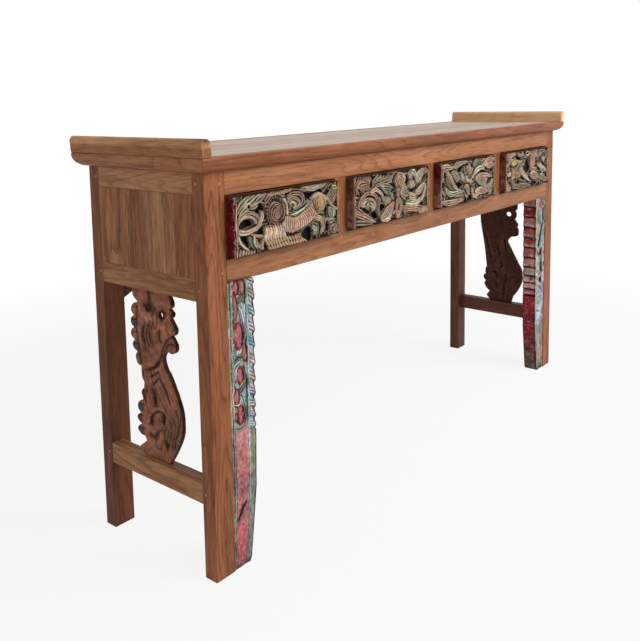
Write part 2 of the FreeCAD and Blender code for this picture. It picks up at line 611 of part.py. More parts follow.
def bevel_tool(doc):
    """A long wedge that takes the worn edge off, drawn on the end of the rail and tapering away."""
    body = doc.addObject("PartDesign::Body", "worn_edge_tool")
    near = sketch_on(body, "YZ_Plane", "worn_edge_near")
    add_outline(doc, near, (("0", "0", 0), ("worn_edge_width", "0", 0), ("0", "worn_edge_width", 0)))
    far = sketch_on(body, "YZ_Plane", "worn_edge_far")
    far.setExpression("AttachmentOffset.Base.z", expression("worn_edge_length"))
    add_outline(doc, far, (
        ("0", "0", 0), ("worn_edge_end", "0", 0), ("0", "worn_edge_end", 0)))
    loft = body.newObject("PartDesign::AdditiveLoft", "worn_edge_loft")
    loft.Profile = near
    loft.Sections = [far]
    loft.Ruled = True
    place(body, (f"-{HALF_LENGTH} + post_width", FRONT_FACE, BOTTOM_RAIL_LEVEL))
    return body


def haunch(doc):
    """The small curved haunch where the front bottom rail meets the right post."""
    body = doc.addObject("PartDesign::Body", "right_haunch")
    sketch = sketch_on(body, "XZ_Plane", "right_haunch_outline")
    add_outline(doc, sketch, (
        ("0", "0", 0), ("-haunch_width", "0", -ROUND_BULGE_SHARE), ("0", "-haunch_drop", 0)))
    feature = pad(body, sketch, "right_haunch_pad", "rail_thickness")
    feature.Reversed = True
    place(body, (f"{HALF_LENGTH} - post_width", FRONT_FACE, BOTTOM_RAIL_LEVEL))
    return body


def make_long_rails(doc, joints):
    parts = {}
    rows = (("top", OPENING_TOP, "top_rail_height"), ("bottom", BOTTOM_RAIL_LEVEL, "bottom_rail_height"))
    for end in (FRONT, BACK):
        for row, level, height in rows:
            name = END_NAMES[end]
            label = f"{name}_{row}_rail"
            blank = block(
                doc, label + "_blank", (BETWEEN_POSTS_X, "rail_thickness", height),
                (f"-{HALF_LENGTH} + post_width", end_y(end, "0", "rail_thickness"), level),
            )
            bar = eased(doc, label + "_bar", blank, 0)
            pieces = [bar, joints[name, row]]
            cutters = joints["pegs"][name]
            if end == FRONT:
                cutters = cutters + joints["mullions"] + joints["pegs"]["mullions"]
            else:
                cutters = cutters + [joints["back_panel"]]
            if label == "front_bottom_rail":
                pieces.append(joints["haunch"])
                cutters = cutters + [bevel_tool(doc)]
            parts[label] = cut(doc, label, union(doc, label + "_tenoned", pieces), cutters)
    return parts


def make_mullions(doc, joints):
    parts = {}
    for index in range(MULLIONS):
        label = f"front_mullion_{index + 1}"
        blank = block(
            doc, label + "_blank", ("mullion_width", "rail_thickness", "opening_height"),
            (mullion_x(index), FRONT_FACE, OPENING_BOTTOM),
        )
        bar = eased(doc, label + "_bar", blank, 2)
        tenoned = union(doc, label + "_tenoned", [bar, joints["mullions"][index]])
        parts[label] = cut(doc, label, tenoned, joints["pegs"]["mullions"])
    return parts


def make_corner_brackets(doc):
    """The two curved brackets under the back bottom rail."""
    parts = {}
    for side in (LEFT, RIGHT):
        label = f"back_{SIDE_NAMES[side]}_corner_bracket"
        body = doc.addObject("PartDesign::Body", label)
        sketch = sketch_on(body, "XZ_Plane", label + "_outline")
        reach = f"{-side} * corner_bracket_reach"
        bulge = -side * CORNER_BULGE_SHARE
        add_outline(doc, sketch, (("0", "0", 0), ("0", "-corner_bracket_drop", bulge), (reach, "0", 0)))
        pad(body, sketch, label + "_pad", "corner_bracket_thickness")
        place(body, (
            f"{side} * ({HALF_LENGTH} - post_width)",
            f"{HALF_DEPTH} - corner_bracket_inset", BOTTOM_RAIL_LEVEL))
        parts[label] = body
    return parts


def make_side_rails(doc, joints):
    parts = {}
    for side in (LEFT, RIGHT):
        name = SIDE_NAMES[side]
        rows = (
            ("top", f"{name}_side_top_rail", "0", "side_rail_thickness", PANEL_TOP,
             "side_top_rail_height", [joints[side, "panel"]]),
            ("bottom", f"{name}_side_bottom_rail", "0", "side_rail_thickness", SIDE_RAIL_LEVEL,
             "side_bottom_rail_height", [joints[side, "panel"], joints[side, "bracket"]]),
            ("stretcher", f"{name}_stretcher", "stretcher_inset", "stretcher_thickness",
             "stretcher_level - stretcher_height", "stretcher_height", [joints[side, "bracket"]]),
        )
        for row, label, inset, thickness, level, height, cutters in rows:
            blank = block(
                doc, label + "_blank", (thickness, BETWEEN_POSTS_Y, height),
                (side_x(side, inset, thickness), f"-{HALF_DEPTH} + post_depth", level),
            )
            bar = eased(doc, label + "_bar", blank, 1)
            tenoned = union(doc, label + "_tenoned", [bar, joints[side, row]])
            parts[label] = cut(doc, label, tenoned, cutters + joints["pegs"][side])
    return parts


def make_side_panels(doc):
    """Three upright boards a side, tongued into the rails."""
    parts = {}
    boards = (
        ("strip", "0", "side_strip_width"),
        ("light_board", "side_strip_width", "side_light_board_width"),
        ("dark_board", "side_strip_width + side_light_board_width",
         f"({BETWEEN_POSTS_Y} - side_strip_width - side_light_board_width)"),
    )
    for side in (LEFT, RIGHT):
        label = f"{SIDE_NAMES[side]}_side_panel"
        pieces = []
        for name, offset, width in boards:
            y = f"-{HALF_DEPTH} + post_depth + ({offset})"
            board = block(
                doc, f"{label}_{name}_board", ("side_board_thickness", width, "side_panel_height"),
                (side_x(side, "0", "side_board_thickness"), y, PANEL_BOTTOM),
            )
            tongue = block(
                doc, f"{label}_{name}_tongue",
                ("tongue_thickness", width, "side_panel_height + 2 * tongue_depth"),
                (side_x(side, "(side_board_thickness - tongue_thickness) / 2", "tongue_thickness"),
                 y, f"{PANEL_BOTTOM} - tongue_depth"),
            )
            pieces.append(union(doc, f"{label}_{name}", [board, tongue]))
        parts[label] = group(doc, label, pieces)
    return parts


def ridged_edge(inward, waist_level, level_shares):
    """The scalloped edge from the waist up: each ridge bellies out above its notch and tapers to the next."""
    rise = f"({BOTTOM_RAIL_LEVEL} - {waist_level})"
    growth = "(pillar_head_width - pillar_waist_width)"
    points = [(
        f"{inward} * (pillar_waist_width + pillar_ridge_depth)", f"{waist_level} - pillar_ridge_depth", 0)]
    for low, high in zip(level_shares, level_shares[1:]):
        belly = low + RIDGE_BELLY_SHARE * (high - low)
        points.append((
            f"{inward} * (pillar_waist_width + {growth} * {low})", f"{waist_level} + {low} * {rise}",
            inward * RIDGE_BULGE_SHARE))
        points.append((
            f"{inward} * (pillar_waist_width + {growth} * {low} + pillar_ridge_depth)",
            f"{waist_level} + {belly:.4f} * {rise}", 0))
    points.append((f"{inward} * pillar_head_width", BOTTOM_RAIL_LEVEL, 0))
    return points


def make_pillars(doc, joints):
    """Old painted pillars beside the front posts, ridged along their inner edges.

    The right one is cut away at the top for the haunch of the rail."""
    parts = {}
    waist_levels = {LEFT: "pillar_waist_level", RIGHT: "(pillar_waist_level - pillar_ridge_shift)"}
    for side in (LEFT, RIGHT):
        label = f"{SIDE_NAMES[side]}_painted_pillar"
        inward = -side
        body = doc.addObject("PartDesign::Body", label + "_timber")
        sketch = sketch_on(body, "XZ_Plane", label + "_outline")
        points = [("0", "0", 0), (f"{inward} * (pillar_foot_width - pillar_foot_chamfer)", "0", 0),
                  (f"{inward} * pillar_foot_width", "pillar_foot_wear", 0),
                  (f"{inward} * pillar_shin_width", "pillar_shin_level", 0)]
        points += ridged_edge(inward, waist_levels[side], RIDGE_LEVEL_SHARES[side])
        points.append(("0", BOTTOM_RAIL_LEVEL, 0))
        add_outline(doc, sketch, points)
        feature = pad(body, sketch, label + "_pad", "pillar_depth")
        feature.Reversed = True
        place(body, (f"{side} * ({HALF_LENGTH} - post_width)", FRONT_FACE, "0"))
        parts[label] = cut(doc, label, body, [joints["haunch"]]) if side == RIGHT else body
        parts[label].Label = label
    return parts


def make_carved_brackets(doc, joints):
    """Pierced scroll brackets that stand on the stretchers under the side rails."""
    parts = {}
    for side in (LEFT, RIGHT):
        label = f"{SIDE_NAMES[side]}_carved_bracket"
        body = doc.addObject("PartDesign::Body", label + "_scroll")
        sketch = sketch_on(body, "YZ_Plane", label + "_outline")
        add_outline(doc, sketch, [
            (f"{x} * bracket_width", f"{z} * {BRACKET_HEIGHT}", bulge)
            for x, z, bulge in BRACKET_OUTLINE_SHARES[side]])
        pad(body, sketch, label + "_pad", "bracket_thickness")
        holes = sketch_on(body, "YZ_Plane", label + "_holes")
        for x, z, half_x, half_z in BRACKET_HOLE_SHARES[side]:
            add_outline(doc, holes, six_sided(
                f"{x} * bracket_width", f"{z} * {BRACKET_HEIGHT}",
                f"{half_x} * bracket_width", f"{half_z} * {BRACKET_HEIGHT}"))
        pocket_through(body, holes, label + "_piercing")
        place(body, (
            side_x(side, "bracket_inset", "bracket_thickness"),
            f"{FRONT_FACE} + bracket_setback", "stretcher_level"))
        ends = bracket_tongues(doc, side, label)
        parts[label] = union(doc, label, [body] + ends)
    return parts


def bracket_tongues(doc, side, label):
    """Short tongues into the stretcher and the side rail."""
    pieces = []
    for row, level in (("lower", "stretcher_level - tongue_depth"), ("upper", SIDE_RAIL_LEVEL)):
        pieces.append(block(
            doc, f"{label}_{row}_tongue",
            ("bracket_tongue_thickness", "bracket_tongue_width", "tongue_depth"),
            (side_x(side, "bracket_inset + (bracket_thickness - bracket_tongue_thickness) / 2",
                    "bracket_tongue_thickness"),
             f"{FRONT_FACE} + bracket_setback + (bracket_width - bracket_tongue_width) / 2", level),
        ))
    return pieces


# The top

def make_planks(doc):
    """Planks along the table, edge to edge over the frame."""
    parts = {}
    for name, start_share, width_share in PLANK_SHARES:
        label = f"top_{name}_plank"
        parts[label] = block(
            doc, label, ("frame_length", f"{width_share} * frame_depth", "top_thickness"),
            (f"-{HALF_LENGTH}", f"{FRONT_FACE} + {start_share} * frame_depth", "leg_height"),
        )
    return parts


def make_edge_mouldings(doc):
    """Mouldings rounded under all round the planks, mitred at the corners."""
    parts = {}
    turn = 90
    sides = (
        ("top_front_edge", "frame_length", 0, ("0", FRONT_FACE, "leg_height")),
        ("top_right_edge", "frame_depth", turn, (HALF_LENGTH, "0", "leg_height")),
        ("top_back_edge", "frame_length", 2 * turn, ("0", HALF_DEPTH, "leg_height")),
        ("top_left_edge", "frame_depth", 3 * turn, (f"-{HALF_LENGTH}", "0", "leg_height")),
    )
    for label, run, angle, base in sides:
        body = doc.addObject("PartDesign::Body", label)
        profile = sketch_on(body, "YZ_Plane", label + "_profile")
        add_outline(doc, profile, (
            ("0", "0", 0), ("0", "top_thickness", 0),
            ("-(overhang - edge_round)", "top_thickness", ROUND_BULGE_SHARE),
            ("-overhang", "top_thickness - edge_round", 0),
            ("-overhang", "top_thickness - edge_lip", ROUND_BULGE_SHARE),
        ))
        pad(body, profile, label + "_pad", f"{run} + 2 * overhang", middle=True)
        mitre = sketch_on(body, "XY_Plane", label + "_mitre_plan")
        for end in (-1, 1):
            corner = f"{end} * {run} / 2"
            beyond = f"{end} * ({run} / 2 + 2 * overhang)"
            points = ((corner, "0", 0), (beyond, "-2 * overhang", 0), (beyond, "0", 0))
            add_outline(doc, mitre, points)
        pocket_through(body, mitre, label + "_mitre")
        body.Placement.Rotation = FreeCAD.Rotation(FreeCAD.Vector(0, 0, 1), angle)
        place(body, base)
        parts[label] = body
    return parts


def make_flanges(doc):
    """Upright round-topped flanges along both ends, leaning out a little."""
    parts = {}
    for side in (LEFT, RIGHT):
        label = f"{SIDE_NAMES[side]}_end_flange"
        body = doc.addObject("PartDesign::Body", label)
        profile = sketch_on(body, "XZ_Plane", label + "_profile")
        bulge = ROUND_BULGE_SHARE * side
        shoulder = "flange_height - flange_thickness / 2"
        add_outline(doc, profile, (
            ("0", "0", 0),
            (f"{side} * flange_thickness", "0", 0),
            (f"{side} * (flange_thickness + flange_lean)", shoulder, bulge),
            (f"{side} * (flange_thickness / 2 + flange_lean)", "flange_height", bulge),
            (f"{side} * flange_lean", shoulder, 0),
        ))
        pad(body, profile, label + "_pad", "frame_depth + 2 * overhang", middle=True)
        place(body, (
            f"{side} * ({HALF_LENGTH} + overhang - flange_thickness)", "0",
            "leg_height + top_thickness"))
        parts[label] = body
    return parts


# What carries the drawers

def make_drawer_supports(doc):
    """Runners below, guides between and kickers above the drawers, front to back."""
    rows = (
        ("drawer_runners", "runner_reach", f"{RUNNER_TOP} - runner_thickness", "runner_thickness"),
        ("drawer_guides", "(front_side_gap - guide_gap)", RUNNER_TOP, "guide_height"),
        ("drawer_kickers", "runner_reach", f"{OPENING_TOP} - kicker_drop", "kicker_thickness"),
    )
    parts = {}
    for label, reach, level, height in rows:
        pieces = []
        for index in range(MULLIONS):
            pieces.append(block(
                doc, f"{label}_{index + 1}",
                (f"mullion_width + 2 * {reach}", "frame_depth - 2 * rail_thickness", height),
                (f"{mullion_x(index)} - {reach}", f"{FRONT_FACE} + rail_thickness", level),
            ))
        for side in (LEFT, RIGHT):
            width = f"(post_width - side_rail_thickness + {reach})"
            pieces.append(block(
                doc, f"{label}_{SIDE_NAMES[side]}", (width, BETWEEN_POSTS_Y, height),
                (side_x(side, "side_rail_thickness", width), f"-{HALF_DEPTH} + post_depth", level),
            ))
        parts[label] = group(doc, label, pieces)
    return parts


# The drawers

def make_carved_front(doc, index):
    """An old carved panel that stands on the front board of its drawer."""
    label = f"drawer_{index + 1}_carved_front"
    width = f"({CARVED_WIDTH_SHARES[index]} * {OPENING_WIDTH})"
    body = doc.addObject("PartDesign::Body", label)
    plan = sketch_on(body, "XY_Plane", label + "_plan")
    add_outline(doc, plan, (
        ("0", f"-({CARVED_GROUND} - carved_edge_round)", ROUND_BULGE_SHARE),
        ("carved_edge_round", f"-{CARVED_GROUND}", 0),
        (f"{width} - carved_edge_round", f"-{CARVED_GROUND}", ROUND_BULGE_SHARE),
        (width, f"-({CARVED_GROUND} - carved_edge_round)", 0),
        (width, "0", 0),
        ("0", "0", 0),
    ))
    pad(body, plan, label + "_ground", CARVED_HEIGHT)
    carve_forms(doc, body, label, width, CARVED_FORM_SHARES[index])
    carve_hollows(doc, body, label, width, CARVED_HOLLOW_SHARES[index])
    place(body, (f"{opening_x(index)} + carved_side_gap", FRONT_FACE, DRAWER_LEVEL))
    return body


def carve_forms(doc, body, label, width, forms):
    """Leaves, crescents and bosses that stand before the ground, each at its own height."""
    for number, (rise, outline) in enumerate(forms, start=1):
        name = f"{label}_form_{number}"
        sketch = sketch_on(body, "XZ_Plane", name + "_outline")
        add_outline(doc, sketch, [
            (f"{u} * {width}", f"{v} * {CARVED_HEIGHT}", bulge) for u, v, bulge in outline])
        pad(body, sketch, name, f"{CARVED_GROUND} + {rise} * carved_relief")


def carve_hollows(doc, body, label, width, hollows):
    """Hollows cut back behind the forms, all to one depth."""
    sketch = sketch_on(body, "XZ_Plane", label + "_hollows_plan")
    sketch.setExpression("AttachmentOffset.Base.z", expression("carved_thickness"))
    for corners in hollows:
        add_outline(doc, sketch, [
            (f"{u} * {width}", f"{v} * {CARVED_HEIGHT}", 0) for u, v in corners])
    feature = body.newObject("PartDesign::Pocket", label + "_hollows")
    feature.Profile = sketch
    feature.setExpression("Length", expression("carved_hollow"))


def make_drawer(doc, index):
    """A carved front on a nailed box: front board, two sides, a back and a grooved bottom."""
    name = f"drawer_{index + 1}"
    x = f"({opening_x(index)} + front_side_gap)"
    box_y = f"({FRONT_FACE} + drawer_front_thickness)"
    inner_width = f"({DRAWER_WIDTH} - 2 * drawer_side_thickness)"
    box_depth = f"({DRAWER_BACK} - {box_y})"
    bottom = block(
        doc, f"{name}_bottom",
        (f"{inner_width} + 2 * drawer_groove", f"{box_depth} - drawer_side_thickness + drawer_groove",
         "drawer_bottom_thickness"),
        (f"{x} + drawer_side_thickness - drawer_groove", box_y, f"{DRAWER_LEVEL} + drawer_bottom_rise"),
    )
    front_board = block(
        doc, f"{name}_front_board", (DRAWER_WIDTH, "drawer_front_thickness", CARVED_HEIGHT),
        (x, FRONT_FACE, DRAWER_LEVEL),
    )
    sides = []
    for side, side_place in ((LEFT, x), (RIGHT, f"{x} + {DRAWER_WIDTH} - drawer_side_thickness")):
        blank = block(
            doc, f"{name}_{SIDE_NAMES[side]}_side_blank",
            ("drawer_side_thickness", box_depth, DRAWER_HEIGHT), (side_place, box_y, DRAWER_LEVEL),
        )
        sides.append(cut(doc, f"{name}_{SIDE_NAMES[side]}_side", blank, [bottom]))
    back_blank = block(
        doc, f"{name}_back_blank", (inner_width, "drawer_side_thickness", DRAWER_HEIGHT),
        (f"{x} + drawer_side_thickness", f"{DRAWER_BACK} - drawer_side_thickness", DRAWER_LEVEL),
    )
    back = cut(doc, f"{name}_back", back_blank, [bottom])
    return {
        f"{name}_carved_front": make_carved_front(doc, index),
        f"{name}_front_board": front_board,
        f"{name}_sides": group(doc, f"{name}_sides", sides),
        f"{name}_back": back,
        f"{name}_bottom": bottom,
    }


# The whole table

def make_table(doc):
    make_sheet(doc)
    joints = make_joinery(doc)
    parts = {}
    parts.update(make_posts(doc, joints))
    parts.update(make_long_rails(doc, joints))
    parts.update(make_mullions(doc, joints))
    parts["back_panel"] = group(doc, "back_panel", [joints["back_panel"]])
    parts.update(make_corner_brackets(doc))
    parts.update(make_side_rails(doc, joints))
    parts.update(make_side_panels(doc))
    parts.update(make_pillars(doc, joints))
    parts.update(make_carved_brackets(doc, joints))
    parts.update(make_planks(doc))
    parts.update(make_edge_mouldings(doc))
    parts.update(make_flanges(doc))
    parts.update(make_drawer_supports(doc))
    parts["joint_pegs"] = group(doc, "joint_pegs", sum(joints["pegs"].values(), []))
    for index in range(DRAWERS):
        parts.update(make_drawer(doc, index))
    doc.recompute()
    return parts


def check(doc, parts):
    """Stop before anything is written if an object failed or a shape is not sound."""
    for thing in doc.Objects:
        if "Invalid" in thing.State or "Error" in thing.State:
            raise RuntimeError(f"{thing.Label} did not compute: {thing.State}")
    for label, part in parts.items():
        if part.Label != label:
            raise RuntimeError(f"{label} is labelled {part.Label}")
        if part.Shape.isNull() or not part.Shape.isValid() or not part.Shape.Solids:
            raise RuntimeError(f"{label} has no sound shape")


def export(parts):
    os.makedirs(OUTPUT_FOLDER, exist_ok=True)
    for label, part in parts.items():
        part.Shape.exportStep(os.path.join(OUTPUT_FOLDER, label + ".step"))
        print(f"{label}: {len(part.Shape.Solids)} solid(s), {part.Shape.Volume:.0f} mm3")


def main():
    doc = FreeCAD.newDocument("altar_table")
    parts = make_table(doc)
    check(doc, parts)
    export(parts)


main()
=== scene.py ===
import math

import bpy
import numpy as np
from mathutils import Matrix, Vector


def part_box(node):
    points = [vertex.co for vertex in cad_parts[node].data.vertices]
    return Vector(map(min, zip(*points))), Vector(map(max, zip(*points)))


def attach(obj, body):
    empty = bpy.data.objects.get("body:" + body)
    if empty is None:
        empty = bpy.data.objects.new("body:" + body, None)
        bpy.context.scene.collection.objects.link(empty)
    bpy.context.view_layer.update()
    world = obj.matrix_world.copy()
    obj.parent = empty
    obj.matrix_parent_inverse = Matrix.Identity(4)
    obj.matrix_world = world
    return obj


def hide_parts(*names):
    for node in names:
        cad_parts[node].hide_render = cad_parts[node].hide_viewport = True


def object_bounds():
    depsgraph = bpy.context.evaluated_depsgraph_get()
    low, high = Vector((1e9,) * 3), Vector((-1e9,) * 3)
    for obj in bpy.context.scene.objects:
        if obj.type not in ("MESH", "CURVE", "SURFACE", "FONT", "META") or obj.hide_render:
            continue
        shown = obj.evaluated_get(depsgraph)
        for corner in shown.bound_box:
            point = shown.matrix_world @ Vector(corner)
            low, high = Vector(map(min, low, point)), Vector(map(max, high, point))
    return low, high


# An altar table of reclaimed teak with old painted carvings. Lengths are in metres.

MM = 0.001

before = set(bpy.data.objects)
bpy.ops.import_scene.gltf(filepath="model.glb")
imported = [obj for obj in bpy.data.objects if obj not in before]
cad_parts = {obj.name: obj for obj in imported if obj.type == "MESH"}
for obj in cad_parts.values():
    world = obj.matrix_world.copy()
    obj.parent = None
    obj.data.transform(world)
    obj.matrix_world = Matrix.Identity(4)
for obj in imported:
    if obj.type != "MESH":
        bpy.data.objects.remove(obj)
CAD_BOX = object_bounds()


# Colours are written as they look (sRGB, from 0 to 1) and are turned to linear light with these numbers

SRGB_KNEE = 0.04045
SRGB_SLOPE = 12.92
SRGB_OFFSET = 0.055
SRGB_POWER = 2.4


def linear(colour):
    """One colour in linear light, with a full alpha."""
    channels = [
        c / SRGB_SLOPE if c <= SRGB_KNEE else ((c + SRGB_OFFSET) / (1 + SRGB_OFFSET)) ** SRGB_POWER
        for c in colour]
    return (*channels, 1.0)


def linear_rows(paint):
    """A grid of colours as rows of linear light, each with a full alpha."""
    flat = paint.reshape(-1, 3)
    rows = np.ones((len(flat), 4))
    curved = ((flat + SRGB_OFFSET) / (1 + SRGB_OFFSET)) ** SRGB_POWER
    rows[:, :3] = np.where(flat <= SRGB_KNEE, flat / SRGB_SLOPE, curved)
    return rows


# Node trees

class Tree:
    """Short words for building a material's nodes."""

    def __init__(self, name):
        self.material = bpy.data.materials.new(name)
        self.material.use_nodes = True
        self.nodes = self.material.node_tree.nodes
        self.links = self.material.node_tree.links
        self.shader = self.nodes["Principled BSDF"]
        self.out = self.nodes["Material Output"]

    def feed(self, socket, value):
        """Link another node's output to a socket, or set its value."""
        if isinstance(value, bpy.types.NodeSocket):
            self.links.new(value, socket)
        else:
            socket.default_value = value

    def node(self, kind, inputs=(), **settings):
        """A new node with its settings, and its inputs by name or number."""
        made = self.nodes.new(kind)
        for name, setting in settings.items():
            setattr(made, name, setting)
        for name, value in dict(inputs).items():
            self.feed(made.inputs[name], value)
        return made

    def place(self, scale=(1, 1, 1), shift=(0, 0, 0)):
        """The place on the object, scaled and shifted, in metres before scaling."""
        where = self.node("ShaderNodeTexCoord").outputs["Object"]
        mapping = self.node("ShaderNodeMapping", {"Vector": where, "Scale": scale, "Location": shift})
        return mapping.outputs[0]

    def noise(self, place, scale, detail=3.0, roughness=0.55, distortion=0.0):
        """Soft noise, about 0.5 on average."""
        made = self.node("ShaderNodeTexNoise", {
            "Vector": place, "Scale": scale, "Detail": detail,
            "Roughness": roughness, "Distortion": distortion})
        return made.outputs[0]

    def math(self, operation, first, second=0.0, third=0.0):
        """One step of arithmetic."""
        made = self.node("ShaderNodeMath", {0: first, 1: second, 2: third}, operation=operation)
        return made.outputs[0]

    def span(self, value, start, end, low_value=0.0, high_value=1.0):
        """Stretch a value so that start..end becomes low..high, held at both ends."""
        made = self.node("ShaderNodeMapRange", {
            "Value": value, "From Min": start, "From Max": end,
            "To Min": low_value, "To Max": high_value}, interpolation_type="SMOOTHSTEP")
        return made.outputs[0]

    def mix(self, amount, first, second, way="MIX"):
        """The first colour with this amount of the second, in one of Blender's ways."""
        made = self.node("ShaderNodeMix", data_type="RGBA", blend_type=way)
        self.feed(made.inputs[0], amount)
        self.feed(made.inputs[6], first)
        self.feed(made.inputs[7], second)
        return made.outputs[2]

    def bump(self, height, strength, distance, **inputs):
        """A normal that follows a height."""
        made = self.node("ShaderNodeBump", {
            "Height": height, "Strength": strength, "Distance": distance, **inputs})
        return made.outputs[0]

    def finish(self, colour, roughness, normal, specular):
        """Connect the shader and return the material."""
        self.shader.inputs["Specular IOR Level"].default_value = specular
        self.feed(self.shader.inputs["Base Color"], colour)
        self.feed(self.shader.inputs["Roughness"], roughness)
        self.feed(self.shader.inputs["Normal"], normal)
        return self.material


# Wood: the grain runs along an axis on which the patterns are stretched

ALONG_X = (0.07, 1.0, 1.0)
ALONG_Y = (1.0, 0.07, 1.0)
ALONG_Z = (1.0, 1.0, 0.07)
BEVEL_RADIUS = 1.6 * MM
KNOT_SHADE = 0.62


def growth_rings(tree, grain, shift, figure):
    """Ring lines along the grain that sway and flow round dark knots. Returns the lines and the knots."""
    rounder = tuple(g ** 0.42 for g in grain)
    cells = tree.node("ShaderNodeTexVoronoi", {"Vector": tree.place(rounder, shift), "Scale": 4.6})
    distance = cells.outputs["Distance"]
    sway = tree.noise(tree.place((1, 1, 1), shift), 9.0, 2.0)
    figure_noise = tree.noise(tree.place(grain, shift), figure, 2.0, 0.5, 0.6)
    phase = tree.math("MULTIPLY_ADD", figure_noise, 26.0, sway)
    phase = tree.math("ADD", phase, tree.span(distance, 0.0, 0.5, 4.5, 0.0))
    rings = tree.math("POWER", tree.math("FRACT", phase), 2.4)
    knots = tree.span(distance, 0.025, 0.075, 0.85, 0.0)
    return rings, knots


def worn_edges(tree):
    """A softened normal and how near a place is to an outer edge."""
    soft = tree.node("ShaderNodeBevel", {"Radius": BEVEL_RADIUS}, samples=4).outputs[0]
    flat = tree.node("ShaderNodeNewGeometry").outputs["Normal"]
    match = tree.node("ShaderNodeVectorMath", {0: soft, 1: flat}, operation="DOT_PRODUCT")
    return soft, tree.span(match.outputs["Value"], 0.78, 0.995, 1.0, 0.0)


def wood_colour(tree, grain, shift, figure, tones, contrast):
    """Rings, knots, streaks, pores and stains. Returns the colour, fibres, pores and stains."""
    pale, middle, dark = (linear(tone) for tone in tones)
    place = tree.place(grain, shift)
    rings, knots = growth_rings(tree, grain, shift, figure)
    fibres = tree.noise(place, 260.0, 4.0, 0.65)
    streaks = tree.noise(place, 48.0, 3.0, 0.6)
    heart = tree.noise(place, 13.0, 2.0, 0.5, 0.3)
    pores = tree.span(tree.noise(place, 700.0, 2.0), 0.60, 0.70)
    blotch = tree.noise(tree.place((1, 1, 1), shift), 6.5, 3.0, 0.6)
    colour = tree.mix(tree.span(rings, 0.0, 1.0, 0.10, 0.10 + 0.75 * contrast), pale, middle)
    colour = tree.mix(tree.span(rings, 0.45, 1.0, 0.0, 0.38 * contrast), colour, dark)
    colour = tree.mix(tree.span(heart, 0.46, 0.70, 0.0, 0.32 * contrast), colour, dark)
    colour = tree.mix(tree.span(streaks, 0.42, 0.70, 0.0, 0.60 * contrast), colour, dark)
    colour = tree.mix(tree.span(fibres, 0.5, 0.75, 0.0, 0.60 * contrast), colour, dark)
    colour = tree.mix(tree.math("MULTIPLY", pores, 0.40 * contrast), colour, dark)
    colour = tree.mix(tree.span(blotch, 0.35, 0.68, 0.0, 0.35), colour, middle)
    specks = tree.noise(tree.place(tuple(share ** 0.8 for share in grain), shift), 190.0, 3.0, 0.6)
    colour = tree.mix(tree.span(specks, 0.50, 0.70, 0.0, 0.34 * contrast), colour, dark)
    colour = tree.mix(tree.span(specks, 0.50, 0.32, 0.0, 0.40 * contrast), colour, pale)
    knot_colour = linear([KNOT_SHADE * channel for channel in tones[2]])
    return tree.mix(knots, colour, knot_colour), fibres, pores, blotch


def shade_boards(tree, plain, boards, axis, blend):
    """The plain colour, multiplied by another tint from each board's place on."""
    across = tree.node("ShaderNodeSeparateXYZ", {0: tree.place()}).outputs[axis]
    colour = plain
    for start, tint in boards:
        begun = tree.span(across, start, start + blend)
        colour = tree.mix(begun, colour, tree.mix(1.0, plain, (*tint, 1.0), "MULTIPLY"))
    return colour


def wood(name, grain, tones, shift=(0, 0, 0), figure=7.0, contrast=1.0, rough=0.5, specular=0.2,
         boards=(), axis="Y", blend=2 * MM):
    """Sawn and waxed old wood with worn edges.

    tones are the pale, middle and dark colours of the growth rings. boards are the places along an axis
    where another board or shade begins, each with the colour that it is multiplied by, and blend is the
    distance that the change takes."""
    tree = Tree(name)
    colour, fibres, pores, blotch = wood_colour(tree, grain, shift, figure, tones, contrast)
    soft, edge = worn_edges(tree)
    rubbed = tree.math("MULTIPLY", edge, tree.span(blotch, 0.40, 0.62, 0.15, 0.55))
    colour = tree.mix(rubbed, colour, linear(tones[0]))
    colour = shade_boards(tree, colour, boards, axis, blend)
    depth = tree.math("MULTIPLY_ADD", pores, -0.8, fibres)
    normal = tree.bump(depth, 0.4, 0.3 * MM, Normal=soft)
    roughness = tree.span(fibres, 0.3, 0.7, rough - 0.06, rough + 0.08)
    return tree.finish(colour, roughness, normal, specular)


TEAK_POST = ((0.69, 0.43, 0.27), (0.58, 0.33, 0.19), (0.33, 0.17, 0.09))
TEAK_RAIL = ((0.71, 0.49, 0.33), (0.60, 0.38, 0.24), (0.36, 0.21, 0.12))
# The next teak is a lighter copy of the rails' teak for the front top rail, as painted light against the
# shadow under the top's overhang
TEAK_RAIL_LIGHTENED = ((0.78, 0.53, 0.36), (0.66, 0.42, 0.27), (0.40, 0.23, 0.14))
TEAK_SIDE = ((0.74, 0.53, 0.37), (0.64, 0.43, 0.28), (0.38, 0.22, 0.13))
TEAK_BOARD = ((0.72, 0.51, 0.35), (0.61, 0.40, 0.26), (0.34, 0.18, 0.11))
TEAK_END = ((0.72, 0.48, 0.32), (0.62, 0.40, 0.25), (0.38, 0.22, 0.13))
# The next two teaks are darker copies of the frame's teak, as painted shade for the back posts and the
# right stretcher, which stand deep in the table's shadow
TEAK_BACK_SHADED = ((0.50, 0.29, 0.18), (0.41, 0.22, 0.13), (0.23, 0.11, 0.07))
TEAK_DARK_SHADED = ((0.49, 0.30, 0.22), (0.40, 0.22, 0.165), (0.21, 0.11, 0.08))
